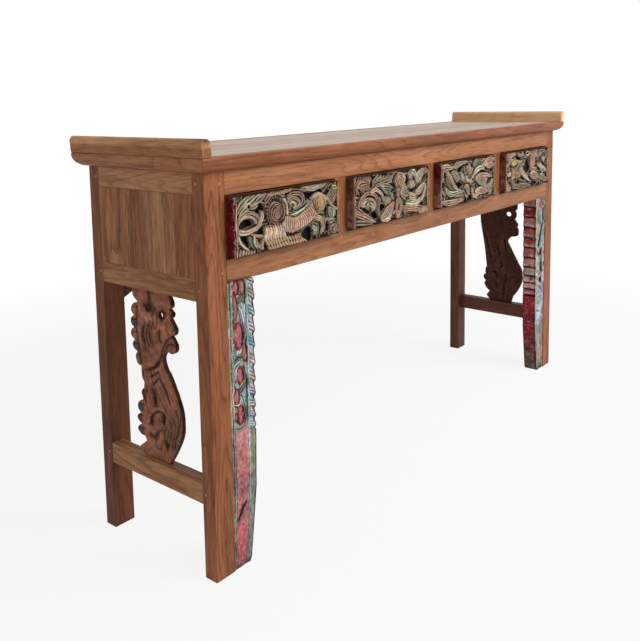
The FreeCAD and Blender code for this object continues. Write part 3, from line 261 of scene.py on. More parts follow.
# The top's teak is paler than the frame's, as a painted sheen on the top
TEAK_TOP_WITH_SHEEN = ((0.79, 0.68, 0.58), (0.73, 0.61, 0.51), (0.55, 0.43, 0.35))
TEAK_ORANGE = ((0.99, 0.84, 0.66), (0.97, 0.78, 0.59), (0.80, 0.57, 0.40))
TEAK_SIDE_TOP = ((0.82, 0.60, 0.43), (0.72, 0.50, 0.34), (0.43, 0.26, 0.17))
CARVED_DARK = ((0.44, 0.29, 0.23), (0.36, 0.22, 0.17), (0.20, 0.11, 0.09))
SAWN = ((0.80, 0.66, 0.48), (0.73, 0.58, 0.41), (0.58, 0.44, 0.30))
SIDE_BOARDS = (
    (0.0, (0.84, 0.68, 0.62)), (0.275, (1.12, 1.16, 1.20)), (0.50, (0.98, 0.82, 0.76)),
    (0.565, (0.82, 0.64, 0.56)), (0.605, (1.06, 0.96, 0.90)))
FLANGE_PALE_EDGE = 20 * MM


def board_places():
    """Where the boards of a side panel begin, from shares of the table's depth."""
    front, back = CAD_BOX[0][1], CAD_BOX[1][1]
    return [(front + share * (back - front), tint) for share, tint in SIDE_BOARDS]


def frame_woods():
    """The frame's finishes, by the names that FINISHES uses."""
    seams = [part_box(f"top_{plank}_plank")[0].y for plank in ("middle", "back")]
    pale_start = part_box("left_end_flange")[1].z - FLANGE_PALE_EDGE
    return {
        "rails": wood("teak_rails", ALONG_X, TEAK_RAIL, contrast=0.8),
        "top_rail": wood("teak_front_top_rail_lightened", ALONG_X, TEAK_RAIL_LIGHTENED, contrast=0.8),
        "posts": wood("teak_posts", ALONG_Z, TEAK_POST, (0.3, 0.1, 0), contrast=1.15),
        "left_back": wood("teak_back_posts", ALONG_Z, TEAK_BACK_SHADED, (0.7, 0.1, 0.3), contrast=1.1,
                          boards=((0.35, (1.45, 1.5, 1.35)),), axis="Z", blend=0.3),
        "right_back": wood("teak_right_back_post", ALONG_Z, TEAK_DARK_SHADED, (0.9, 0.1, 0.3)),
        "sides": wood("teak_side_rails", ALONG_Y, TEAK_SIDE, (0.2, 0, 0.43), figure=8.0, contrast=1.15),
        "side_tops": wood("teak_side_top_rails", ALONG_Y, TEAK_SIDE_TOP, (0.7, 0, 0.21), figure=8.0),
        "dark_rails": wood("teak_right_rails", ALONG_Y, TEAK_DARK_SHADED, (0.4, 0, 0.1)),
        "panels": wood("teak_side_boards", ALONG_Z, TEAK_BOARD, (0.5, 0, 0.2), figure=6.0, contrast=1.3,
                       boards=board_places()),
        "top": wood("teak_top_with_painted_sheen", ALONG_X, TEAK_TOP_WITH_SHEEN, (0, 0.6, 0), rough=0.42, specular=0.5,
                    boards=((seams[0], (0.86, 0.82, 0.80)), (seams[1], (1.04, 1.02, 1.00)))),
        "edges": wood("teak_front_mouldings", ALONG_X, TEAK_POST, (0.1, 0.3, 0.2)),
        "ends": wood("teak_end_mouldings", ALONG_Y, TEAK_END, (0, 0, 0.7)),
        "flange": wood("teak_left_flange", ALONG_Y, TEAK_END, (0.6, 0, 0.2), figure=9.0,
                       boards=((pale_start, (1.7, 2.1, 2.3)),), axis="Z", blend=8 * MM),
        "orange": wood("teak_right_flange", ALONG_Y, TEAK_ORANGE, (0.2, 0, 0.5)),
        "sawn": wood("sawn_drawer_wood", ALONG_Y, SAWN, rough=0.7),
        "sawn_across": wood("sawn_drawer_wood_across", ALONG_X, SAWN, rough=0.7),
        "brackets": wood("old_dark_wood", ALONG_Z, CARVED_DARK, (0.1, 0, 0), rough=0.6),
        "pegs": wood("peg_end_grain", ALONG_Z, SAWN, rough=0.7),
    }


# A node gets the finish of the first line with a word that is in its name
FINISHES = (
    ("right_back", "back_right_post"), ("left_back", "back_left_post"), ("posts", "_post _mullion"),
    ("top_rail", "front_top_rail"), ("rails", "front_bottom_rail back_top_rail back_bottom_rail"),
    ("rails", "back_panel front_board"), ("dark_rails", "right_stretcher"),
    ("side_tops", "side_top_rail"), ("sides", "side_bottom_rail _stretcher"),
    ("panels", "side_panel"), ("brackets", "corner_bracket carved_bracket painted_pillar carved_front"),
    ("top", "_plank"), ("edges", "top_front_edge top_back_edge"),
    ("ends", "top_left_edge top_right_edge"), ("orange", "right_end_flange"), ("flange", "end_flange"),
    ("sawn", "drawer_runners drawer_guides drawer_kickers _sides"), ("pegs", "joint_pegs"),
    ("sawn_across", "_back _bottom"),
)


def finish_of(node):
    """The name of a node's finish."""
    return next(finish for finish, words in FINISHES if any(word in node for word in words.split()))


def dress_frame():
    """Give every node of the frame its wood."""
    woods = frame_woods()
    for name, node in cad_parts.items():
        for slot in node.material_slots:
            slot.material = woods[finish_of(name)]


# Carved relief: a face is worked out on a grid in millimetres, each form laid over the ones before.
# A level is how far forms stand back from the face, so that it is 0 or negative.

# The numbers ending in _SHADE paint shade into a carving's colour (in creases, toward the edges of forms,
# in grooves, rings and rays, and the deeper a place lies), and those ending in _LIGHT paint highlights on
# rims, ridges and the lips of grooves
GRID_PITCH = 0.8
CREASE_WIDTH = 1.2
CREASE_DEPTH = 1.3
CREASE_SHADE = 0.30
EDGE_SHADE = 0.12
RIM_LIGHT = 0.18
RIDGE_LIGHT = 0.22
GROOVE_SHADE = 0.58
GROOVE_SPACING = 5.2
STROKE_CUT = 1.4
BOSS_SHADE = 0.36
OUTER_RIDGE = 0.82
DISH = 0.7
DEPTH_SHADE = 0.52
LIP_LIGHT = 0.12
HOLE_DEPTH = 15.0
HOLE_WALL = 1.6
HOLE_GROWTH = 1.1

PAINT = {
    "cream": (0.78, 0.67, 0.57), "pink": (0.70, 0.54, 0.46), "rose": (0.58, 0.40, 0.35),
    "tan": (0.62, 0.47, 0.34), "ochre": (0.66, 0.49, 0.30), "brown": (0.42, 0.28, 0.20),
    "umber": (0.22, 0.13, 0.09), "grey": (0.57, 0.53, 0.46), "stone": (0.45, 0.41, 0.36),
    "sage": (0.52, 0.53, 0.42), "green": (0.17, 0.36, 0.22), "mint": (0.62, 0.69, 0.59),
    "teal": (0.42, 0.54, 0.47), "olive": (0.35, 0.33, 0.22), "plum": (0.25, 0.14, 0.14),
    # hollow is near black, as painted shade for the deep hollows cut behind the carvings
    "maroon": (0.30, 0.07, 0.09), "hollow": (0.045, 0.022, 0.018), "yellow": (0.72, 0.62, 0.30),
    "red": (0.66, 0.17, 0.20), "blood": (0.33, 0.06, 0.08), "coral": (0.80, 0.44, 0.38),
    "sky": (0.60, 0.66, 0.67), "blue": (0.22, 0.40, 0.52),
    "leafgreen": (0.42, 0.58, 0.38), "lilac": (0.60, 0.57, 0.62), "bark": (0.44, 0.29, 0.23),
    "slate": (0.20, 0.24, 0.28), "rust": (0.40, 0.20, 0.16), "wine": (0.31, 0.06, 0.08),
    "oak": (0.58, 0.37, 0.29), "pitch": (0.28, 0.16, 0.12),
    "white": (0.84, 0.84, 0.84), "navy": (0.24, 0.30, 0.42), "crimson": (0.60, 0.13, 0.18),
    "candy": (0.78, 0.53, 0.52), "rosewood": (0.72, 0.35, 0.39), "frost": (0.74, 0.79, 0.82),
    "shell": (0.80, 0.66, 0.65), "oxblood": (0.48, 0.08, 0.11), "taupe": (0.60, 0.44, 0.38),
    "russet": (0.52, 0.29, 0.25), "gold": (0.94, 0.74, 0.20),
}


def smooth_step(value, start, end):
    """From 0 at start to 1 at end, with soft ends."""
    t = np.clip((value - start) / (end - start), 0, 1)
    return t * t * (3 - 2 * t)


def smooth_line(points, steps=7):
    """A Catmull-Rom line through the points."""
    given = np.array(points, float)
    ends = np.vstack([2 * given[0] - given[1], given, 2 * given[-1] - given[-2]])
    t = np.linspace(0, 1, steps, endpoint=False)[:, None]
    spans = [
        0.5 * (2 * b + (c - a) * t + (2 * a - 5 * b + 4 * c - d) * t ** 2
               + (3 * b - a - 3 * c + d) * t ** 3)
        for a, b, c, d in zip(ends, ends[1:], ends[2:], ends[3:])]
    return np.vstack(spans + [given[-1:]])


def beside_line(line, x, z):
    """How far along the line each place is (0 to 1), how far aside of it (left is +), and its length."""
    step = np.diff(line, axis=0)
    length = np.hypot(step[:, 0], step[:, 1]) + 1e-9
    before = np.concatenate([[0.0], np.cumsum(length)])
    dx = x[..., None] - line[:-1, 0]
    dz = z[..., None] - line[:-1, 1]
    part = np.clip((dx * step[:, 0] + dz * step[:, 1]) / length ** 2, 0, 1)
    gap = np.hypot(dx - part * step[:, 0], dz - part * step[:, 1])
    nearest = gap.argmin(axis=-1)[..., None]
    turn = np.sign(step[:, 0] * dz - step[:, 1] * dx)
    along = (before[:-1] + part * length) / before[-1]
    chosen = [np.take_along_axis(values, nearest, -1)[..., 0] for values in (along, gap, turn)]
    return chosen[0], chosen[1] * chosen[2], before[-1]


# The share of its width that a form has at t, from 0 at its start to 1 at its end
WIDTHS = {
    "leaf": lambda t: np.sin(np.pi * t ** 0.8) ** 0.7,
    "horn": lambda t: np.minimum(1, t / 0.10 + 0.25) * (1 - t) ** 0.5,
    "band": lambda t: np.minimum(1, np.minimum(t, 1 - t) / 0.06 + 0.35),
}


def wave(phase):
    """A groove every whole turn: 0 on the ridges, 1 in the grooves."""
    return 0.5 - 0.5 * np.cos(2 * np.pi * phase)


def blurred(field, radius):
    """A soft copy of a field, by a bell-shaped filter of this radius in grid steps."""
    down = np.fft.fftfreq(field.shape[0])[:, None]
    over = np.fft.rfftfreq(field.shape[1])[None, :]
    bell = np.exp(-2 * (np.pi * radius) ** 2 * (down ** 2 + over ** 2))
    return np.fft.irfft2(np.fft.rfft2(field) * bell, s=field.shape)


def rising_paint(low_colour, high_colour, rise):
    """Paint that goes from one colour to another as rise goes from 0 to 1."""
    return np.array(PAINT[low_colour]) * (1 - rise) + np.array(PAINT[high_colour]) * rise


def number_at(word, k):
    """The number 12 from "12", or 3 + 0.5 * k from "3+0.5k"."""
    if not word.endswith("k"):
        return float(word)
    split = max(word.rfind("+"), word.rfind("-"))
    return float(word[:split]) + float(word[split:-1]) * k


def read_row(words, k):
    """The colours, numbers, pairs and options in the words of a row, for the form with the number k."""
    colours, numbers, pairs, options = [], [], [], {}
    for word in words:
        name, equals, value = word.partition("=")
        if equals:
            options[name] = float(value)
        elif word[0].isalpha():
            colours = [choice.split("|")[k % len(choice.split("|"))] for choice in word.split("/")]
        elif "," in word or "x" in word:
            pairs.append([number_at(part, k) for part in word.replace("x", ",").split(",")])
        else:
            numbers.append(number_at(word, k))
    return colours, numbers, pairs, options


class Relief:
    """A carved and painted face. Places on it are hundredths of its width and height, or of its unit."""

    def __init__(self, width, height, margin, ground, colour, seed, pitch=GRID_PITCH):
        self.random = np.random.default_rng(seed)
        self.width, self.height, self.pitch = width, height, pitch
        self.unit = (width / 100, height / 100)
        columns = round((width + 2 * margin) / pitch) + 1
        rows = round(height / pitch) + 1
        self.x, self.z = np.meshgrid(
            np.linspace(-margin, width + margin, columns), np.linspace(0, height, rows))
        self.level = np.full(self.x.shape, float(ground))
        self.paint = np.ones(self.x.shape + (3,)) * PAINT[colour]
        self.bent_x = self.x + self.wobble(9, 0.7)
        self.bent_z = self.z + self.wobble(9, 0.7)
        self.groove_scale = 1.0
        self.groove_shade = 1.0

    def wobble(self, radius, size):
        """Smooth unevenness, as a hand makes it."""
        field = blurred(self.random.normal(size=self.x.shape), radius)
        return field * size / field.std()

    def points(self, shares):
        """Places in the face's unit, as millimetres."""
        return np.array(shares, float) * self.unit

    def window(self, line, reach):
        """The part of the grid that a form can touch."""
        (left, low), (right, high) = line.min(axis=0) - reach, line.max(axis=0) + reach
        columns = np.flatnonzero((self.x[0] > left) & (self.x[0] < right))
        rows = np.flatnonzero((self.z[:, 0] > low) & (self.z[:, 0] < high))
        if not len(columns) or not len(rows):
            return None
        return slice(rows[0], rows[-1] + 1), slice(columns[0], columns[-1] + 1)

    def lay(self, window, edge, level, colour):
        """Put a form over what is there. edge is the distance inside the form's outline."""
        inside = np.clip(edge / self.pitch + 0.5, 0, 1)
        crease = np.clip(1 + edge / CREASE_WIDTH, 0, 1) * (1 - inside)
        self.level[window] -= CREASE_DEPTH * crease
        self.paint[window] *= (1 - CREASE_SHADE * crease)[..., None]
        self.level[window] += inside * (level - self.level[window])
        self.paint[window] += inside[..., None] * (colour - self.paint[window])

    def draw(self, rows):
        """Carve and paint the forms in a text, one on each row, in their order:

        leaf, horn or band   colour/rim width level grooves   places along its middle
        disc                 colour/rim radii level           its centre
        hole                 depth colour                     places round it
        groove               width depth shade                places along it
        tint                 colour radii amount              its centre

        A place is written u,v and radii are written 5x9. Options of the method follow as name=value, and
        what a row leaves out has the method's usual value. leaf*4 makes four leaves, with k from 0 to 3
        in numbers such as 3+0.5k, and with colours such as grey|sage in turn."""
        for row in rows.strip().splitlines():
            kind, *words = row.split()
            kind, _, count = kind.partition("*")
            for k in range(int(count or 1)):
                self.form(kind, *read_row(words, k))

    def form(self, kind, colours, numbers, pairs, options):
        """One form from the parts of its row."""
        if colours[1:]:
            options["rim"] = colours[1]
        if kind in WIDTHS:
            width, level, *grooves = numbers
            self.stroke(kind, colours[0], width, level, pairs, *grooves, **options)
        elif kind == "hole":
            self.hole(pairs, *numbers, *colours)
        elif kind == "disc":
            self.disc(colours[0], pairs[0], numbers[0], pairs[1], **options)
        elif kind == "groove":
            self.groove(pairs, *numbers)
        else:
            self.tint(colours[0], pairs[1], pairs[0], numbers[0])

    def stroke(self, shape, colour, width, level, shares, grooves=2, ribs=0.0, slant=0.0, crown=2.6,
               rim=None):
        """A leaf, horn or band along a line: grooves run with it and ribs cross it at even distances."""
        line = smooth_line(self.points(shares))
        window = self.window(line, width / 2 + 4)
        if window is None:
            return
        along, aside, length = beside_line(line, self.bent_x[window], self.bent_z[window])
        half = width / 2 * WIDTHS[shape](along) + 1e-6
        across = np.clip(aside / half, -1, 1)
        start, end = level if isinstance(level, tuple) else (level, level)
        form = start + (end - start) * along - crown * across ** 6 - DISH * (1 - across ** 2)
        cut = np.zeros_like(form)
        if grooves:
            count = min(grooves, max(1, round(width / GROOVE_SPACING) - 1))
            cut = wave((across / OUTER_RIDGE + 1) * count / 2) ** 1.3
        if ribs:
            cut = cut * 0.4 + 0.9 * wave((along * length + slant * abs(aside)) / ribs) ** 1.3
        rim_light = RIM_LIGHT * np.exp(-((abs(across) - OUTER_RIDGE) / 0.16) ** 2)
        shade = 1 + RIDGE_LIGHT + rim_light - EDGE_SHADE * across ** 6 - GROOVE_SHADE * cut
        tint = np.array(PAINT[colour]) * self.random.uniform(0.93, 1.07)
        coat = np.ones(form.shape + (3,)) * tint
        if rim:
            coat += np.clip(across * 1.6 - 0.4, 0, 1)[..., None] * (np.array(PAINT[rim]) - tint)
        self.lay(window, half - abs(aside), form - STROKE_CUT * cut, coat * shade[..., None])

    def leaf(self, colour, width, level, shares, **more):
        """A stroke that is pointed at both ends."""
        self.stroke("leaf", colour, width, level, shares, **more)

    def band(self, colour, width, level, shares, **more):
        """A stroke of even width."""
        self.stroke("band", colour, width, level, shares, **more)

    def hole(self, shares, depth=HOLE_DEPTH, colour="hollow"):
        """A hollow cut back behind the carving, in deep shadow, painted near black by default as painted
        shade.
        """
        given = self.points(shares)
        loop = smooth_line(np.vstack([given, given[:1]]), 5)
        window = self.window(loop, 3)
        if window is None:
            return
        x, z = self.bent_x[window], self.bent_z[window]
        _, aside, _ = beside_line(loop, x, z)
        x1, z1, x2, z2 = loop[:-1, 0], loop[:-1, 1], loop[1:, 0], loop[1:, 1]
        crossed = (z1 > z[..., None]) != (z2 > z[..., None])
        meets = x[..., None] < (x2 - x1) * (z[..., None] - z1) / (z2 - z1 + 1e-9) + x1
        inside = (crossed & meets).sum(axis=-1) % 2 == 1
        edge = np.where(inside, abs(aside), -abs(aside)) + HOLE_GROWTH
        floor = -depth * np.clip(edge / HOLE_WALL, 0, 1) - 3.0 * (edge <= 0)
        coat = np.ones(x.shape + (3,)) * PAINT[colour]
        self.lay(window, edge, np.minimum(floor, -4.0), coat)

    def disc(self, colour, radii, level, centre, rings=0, rays=0, dome=3.0, rim=None, cut_depth=1.1):
        """A boss, flower or rosette: rings run round it and rays run out from its middle."""
        middle = self.points([centre])[0]
        window = self.window(middle[None, :] + np.array([[-radii[0], -radii[1]], radii]), 3)
        if window is None:
            return
        dx = (self.bent_x[window] - middle[0]) / radii[0]
        dz = (self.bent_z[window] - middle[1]) / radii[1]
        out = np.hypot(dx, dz)
        angle = np.arctan2(dz, dx) / (2 * np.pi)
        scallop = 1 - (0.07 * wave(angle * rays) if rays else 0)
        edge = (scallop - out) * min(radii)
        out = np.clip(out, 0, 1)
        cut = np.zeros_like(out)
        if rings:
            cut = cut + cut_depth * wave(out * rings + 0.3 * np.sin(2 * np.pi * (2 * angle + out)))
        if rays:
            cut = cut + cut_depth * wave(angle * rays) * np.clip(out * 2 - 0.6, 0, 1)
        tint = np.array(PAINT[colour])
        coat = np.ones(out.shape + (3,)) * tint
        if rim:
            coat += np.clip(out * 2 - 0.9, 0, 1)[..., None] * (np.array(PAINT[rim]) - tint)
        shade = 1.10 - EDGE_SHADE * out ** 2 - BOSS_SHADE * cut
        self.lay(window, edge, level - dome * out ** 2 - cut, coat * shade[..., None])

    def groove(self, shares, width, depth, shade=0.50):
        """A cut line, darkened with painted shade, with a wide soft valley and a paler lip on each side as
        a painted highlight.
        """
        width *= self.groove_scale
        shade *= self.groove_shade
        line = smooth_line(self.points(shares))
        window = self.window(line, 2 * width)
        if window is None:
            return
        _, aside, _ = beside_line(line, self.bent_x[window], self.bent_z[window])
        cut = smooth_step(-abs(aside), -width / 2, 0)
        valley = smooth_step(-abs(aside), -1.7 * width, 0)
        lip = LIP_LIGHT * np.exp(-((abs(aside) - 1.2 * width) / (0.4 * width)) ** 2)
        self.level[window] -= depth * (0.65 * cut + 0.35 * valley)
        self.paint[window] *= (1 + lip - shade * cut - 0.22 * shade * valley)[..., None]

    def tint(self, colour, centre, radii, amount):
        """A soft patch of paint."""
        x, z = self.points([centre])[0]
        out = np.hypot((self.bent_x - x) / radii[0], (self.bent_z - z) / radii[1])
        cover = amount * smooth_step(-out, -1.25, -0.45)
        self.paint += cover[..., None] * (np.array(PAINT[colour]) - self.paint)

    def coat(self, across, upward, low_colour, high_colour):
        """An even coat over a rectangle, from one colour at its foot to another at its top."""
        x, z = self.bent_x, self.bent_z
        cover = smooth_step(x, across[0] - 1, across[0] + 1)
        cover = cover * smooth_step(-x, -across[1] - 1, -across[1] + 1)
        cover = cover * smooth_step(z, upward[0] - 1, upward[0] + 1)
        cover = cover * smooth_step(-z, -upward[1] - 1, 1 - upward[1])
        colour = rising_paint(low_colour, high_colour, smooth_step(z, *upward)[..., None])
        self.paint += cover[..., None] * (colour - self.paint)

    def undergrowth(self, colours, count, level, width=13.0, lean=25.0, keep=None):
        """Low leaves that fill the ground between the main forms, within the places to keep."""
        columns = max(2, round(math.sqrt(count * self.width / self.height)))
        for k in range(count):
            u = (k % columns + self.random.uniform(0, 1)) * self.width / self.unit[0] / columns
            row = k // columns + self.random.uniform(0, 1)
            v = row * columns / count * self.height / self.unit[1]
            turn = math.radians(lean + self.random.normal(0, 35))
            reach = self.random.uniform(5, 10)
            du, dv = reach * math.cos(turn), reach * math.sin(turn) * self.unit[0] / self.unit[1]
            bend = self.random.uniform(-5, 5)
            colour = colours[k % len(colours)]
            if keep and not (u < keep[0] and v > keep[1]):
                continue
            line = [(u - du, v - dv), (u + bend / 3, v + bend), (u + du, v + dv)]
            self.leaf(colour, width, level, line, grooves=3)

    def finish(self, limit):
        """Tool marks and unevenness, and depth held to a limit. Returns level, paint and hollowness."""
        tools = self.wobble(2.2, 0.22) + self.wobble(7, 0.35)
        level = np.maximum(np.minimum(self.level + tools, 0), -limit)
        # Painted shade: the deeper a place lies, the darker its paint
        self.paint *= (1 - DEPTH_SHADE * smooth_step(-level, 1.5, 8))[..., None]
        hollow = (blurred(level, 2.5) - level) / 1.6 + (blurred(level, 8) - level) / 5.0
        self.paint *= (1 + self.wobble(3, 0.07) + self.wobble(12, 0.06))[..., None]
        self.paint[..., 0] *= 1 + self.wobble(10, 0.03)
        self.paint[..., 2] *= 1 + self.wobble(10, 0.04)
        return level, np.clip(self.paint, 0.01, 0.95), np.clip(hollow, -1, 1)


# The four drawer carvings. Places are hundredths of a front's width and height; sizes are millimetres

FRONT_DEPTH_LIMIT = 17.0
FRONT_GROUND = -8.5
UNDERGROWTH_COUNT = 78
UNDERGROWTH_LEVEL = (-4.5, -6.5)


# Scrolls round a ring with a hollow eye, over leaves with hollows between them.
FRONT_1_LEFT = """
leaf*4 grey|sage|grey|stone 12 -2.2 3  1+5k,70+3k 6+5k,86+1k 13+5k,99
leaf sage 11 -1.8 3  3,62 8,74 16,82
leaf grey 10 -1.5  13,76 20,83 27,84
band cream 3 -1.2 0  8,76 9,83 12.5,85 14,80 12,76
hole  11,79 12.5,81.5 13.5,79 12,77
hole  16.5,69 19.5,77 22,85 26,78 25.5,60 23,63 20,67
hole  3.5,37 7,36 12,34 12.5,24 11.5,12 8,20 5,28
hole  16.5,34 22,40 26,45 26,28 20,31
hole  18,22 24.5,20 21.5,8
leaf cream 5 -1.5 0  2.5,38 4.5,20 13,5
horn teal 7 -3 1  12.5,31 13.5,18 18,4
horn mint 5 -2 0  16,31 16.5,17 20,5
leaf pink 7 -2 1  18,25 19.5,14 24,2
band pink 5 -1.5 1  14,33 19.5,29 24.5,26
leaf cream 5 -1.5 1  25,24 23.5,12 24,1
band grey 7 -2  2,44 3.5,60 10,71 17,67 21.5,55
band cream 5 -1.4 1  2.5,44 5,59 10.5,65 16,60 18.5,50
horn cream/grey 11 -1  2,41 10,38 18,43 22.5,54 22.5,71
leaf cream 8 -0.8 1  20,50 23,58 22.8,72
hole  3.6,45 4.2,53 7.5,60 12,60 15.5,54 15,48 9,45
leaf*7 cream|pink 4.2 -2 0  0.5+2.4k,0 2+2.5k,14-1.5k
leaf pink/grey 5 -2 0  1.5,96 0.8,50 2,6
"""


def front_1_mane(face):
    """A round mane of rings with locks round it, over a scaly breast."""
    face.band("bark", 12, -2.6, [(27, 84), (31, 94), (38, 97), (44, 90)], rim="brown")
    for k in range(9):
        line = [(28.5 + 1.8 * k, 91 + k % 2), (29.5 + 1.8 * k, 99)]
        face.leaf("tan", 5.5, -2.0, line, grooves=0, rim="brown")
    for k in range(22):
        turn = math.radians(-70 + 15.5 * k)
        u, v = 36.2 + 6.6 * math.cos(turn), 64 + 19 * math.sin(turn)
        du, dv = 2.6 * math.cos(turn + 0.5), 8.5 * math.sin(turn + 0.5)
        line = [(u - du / 2, v - dv / 2), (u + du, v + dv)]
        face.leaf("tan" if k % 3 else "rose", 6.5, -2.4, line, grooves=1)
    face.draw("""
        disc rose/bark 25x28 -0.8  36.2,62  rings=5 dome=4.5 cut_depth=1.3
        disc rose/bark 14x15 -0.4  36,60  rings=3 dome=2 cut_depth=1.2
        band rust 4 -2.5 0  42.6,48 44,62 42.4,77
        band cream 4 -1 0  43,86 46,72 46.5,54
        leaf brown 8 -2.4  26,42 35,39 44,42""")
    for k in range(9):
        u = 26.0 + 2.2 * k
        line = [(u, 41), (u + 1.4, 30), (u, 22), (u + 1.6, 12)]
        face.leaf("pink" if k % 2 else "cream", 7.5, -1.2, line, grooves=0, rim="tan")
    for row in range(2):
        for k in range(14):
            u = 27 + 2.6 * k + 1.3 * row
            line = [(u, 17 - 8 * row), (u + 1.0, 12 - 8 * row), (u + 2.6, 7 - 8 * row)]
            face.leaf("ochre" if (k + row) % 2 else "tan", 7, -1.5, line, grooves=0, rim="brown")


FRONT_1_CLOUD = """
hole  42.5,84 43,91 50,93 55,88 57,82 52,86 47,86
band rose 6 -2  44,96 52,98 60,92 63,80
disc brown 26x27 -4  54,74  dome=2
band stone/plum 9 -1.6 1  46,84 52,91 59,88 62.5,76 59,63 52,57
band grey 7 -1.4 1  46.5,76 51,83 56,80 58.5,71 55,61
band sage/stone 6 -1.2 0  48,68 51,76 54,71 53,62
hole  46.2,68 48,72 49.5,68 48,61
leaf green 12 -2.6 1  46,58 49,54 52,55
leaf green 13 -2.2  52,58 60,62 66,70 71,84
leaf mint 10 -1.6 1  46,49 58,53 67,63 74,79
band cream 3.5 -1 0  42,86 46.5,70 47,51
leaf grey 15 -2 4  61,98 72,96 87,98
hole  62.5,88 65,89 70,87.5 81,90 81,84 73,81.5 69.5,74 66,79
leaf maroon 7 -3 0  60,97 63,93 66,90
"""


# A ribbed body that ends in a swirl, and its legs.
FRONT_1_BODY = """
band pink/tan 33 -0.5 0  43,40 54,35 64,42 72,54 79,68  ribs=6 slant=0.22 crown=5
disc tan/tan 22x22 -0.5  78.5,66  rings=4 dome=2.5
tint yellow 14x16 0.6  79,67
band cream 5 -1 1  70,74 77,82 84,74 86,60
hole  59.5,13 64.5,23 68.5,25 71.5,18 71,3 67,0 63,6
leaf green 15 -3  70,32 75,26 76,14 75,3
leaf mint 8 -2 1  71,24 74,17 73,6
horn cream 16 -1.5  73,42 80,34 82,22 79,5
leaf pink 10 -2 1  84,40 83,26 85,8
"""


FRONT_1_RIGHT = """
leaf stone 15 -3 4  86,62 91,78 97,99
leaf grey/brown 14 -3 3  90,58 95,72 99,90
leaf yellow 9 -2 1  92,92 95,90 98,86
leaf teal 17 -2 3  88,55 91,42 90,28
leaf mint 7 -1.5 1  93,52 94,42 92,30
leaf grey 13 -2  84,31 90,27 96,30
band cream 6 -0.5 1  83,78 88,68 93,54 99,46
disc grey/stone 17x14 -2  95,13  rings=3
hole  84.5,8 85,25 88.5,26 89.5,12 87,7
hole  84,35 85,52 87.2,60 87.6,46 86,35
leaf ochre/tan 14 -2  98,2 100,40 99,98
"""


def front_1(face):
    """An animal with a round mane and a ribbed body, between scrolls and clouds."""
    face.undergrowth(("grey", "stone", "sage", "rose", "brown"), UNDERGROWTH_COUNT, UNDERGROWTH_LEVEL)
    face.draw(FRONT_1_LEFT)
    face.draw(FRONT_1_CLOUD)
    front_1_mane(face)
    face.draw(FRONT_1_BODY)
    face.draw(FRONT_1_RIGHT)


FRONT_2_LEFT = """
leaf*7 rose/brown 9 -2 1  1+3k,64+1k 2+2.6k,80 5+2.4k,99
leaf ochre 12 -2 3  2,76 8,86 17,84
hole 9  4,75 6,76 9,62 7,61
hole 8  12,70 14,70 13.5,61
leaf pink 17 -3 4  -1,30 10,22 27,3
leaf stone 13 -3 3  0,12 10,8 22,2
leaf rose 12 -3 3  0,42 5,34 12,24
hole 9  9,36 14,26 20,24 16,32 11,38
hole  20,22 26,26 30,12 27,9 24,12
band rose 9 -2 3  4,40 8,56 16,65 25,60 29,47
band pink 7 -1.5  7,42 13,52 21,52 25,42 24,30
leaf cream 13 -1  8,41 15,45 22,36 21,27
disc grey/stone 10x10 -0.5  15.5,41  rings=2
horn plum/rose 16 -3  31,52 29,30 34,3
"""


FRONT_2_FAN = """
leaf*7 grey|sage/olive 12 -2.5  19+1k,71+1k 24+3.4k,84 29+4.2k,100-1k
hole 7  20,72 18.5,82 21,92 22,80
hole 10 olive  30,68 36,72 45,60 41,50 36,47 33,56
leaf green 12 -6  33,64 38,56 43,50
leaf*4 mint/sage 9 -1.5 1  30+2k,78-5k 38+2k,76-7k 50,66-8k
tint green 22x17 0.85  42,61
horn cream/pink 10 -0.5 1  19,66 26,70 33,58 38,34
hole  32,22 32,37 37,37 40,33 36,24
disc sage/olive 16x14 -1.5  41,43  rings=3
leaf pink 26 -1.5 5  32,6 41,16 50,40
leaf cream 8 -1 1  33,4 44,6 52,22
hole 8  45,5 48,13 48,5
"""


def front_2_flower(face):
    """The middle: a large flower, a fan over a small rosette, and a stem."""
    face.draw("""
        hole  46.5,80 49,90 53,93 56,86 52,78
        hole  45,60 49,66 52,63 48,57
        hole  48,50 51,57 54,54 51,47
        hole  65,66 64.5,84 68,91 70.5,76 68,64
        disc ochre/cream 20x21 -0.5  58,79  rings=3 dome=4
        leaf rose 13 -1 3  53,90 53,78 57,66
        leaf cream 8 0 1  60,96 63.5,84 61,66""")
    for k in range(5):
        turn = math.radians(-60 + 30 * k)
        du, dv = math.cos(turn), math.sin(turn)
        line = [(57, 58), (60 + 5 * du, 55 + 14 * dv), (61 + 9 * du, 53 + 20 * dv)]
        face.leaf("grey", 11, -1, line, rim="stone")
    face.draw("""
        disc rose/cream 9x9 -0.5  55.5,61  rings=2 rays=6
        disc pink/grey 6x6 -0.5  55,51  rings=1
        leaf tan/olive 33 -0.5 4  55,46 56,24 53,1
        hole 9  54,20 55,30 56.5,29 56,19
        leaf olive 9 -1.5 1  61,22 64,12 64,2""")


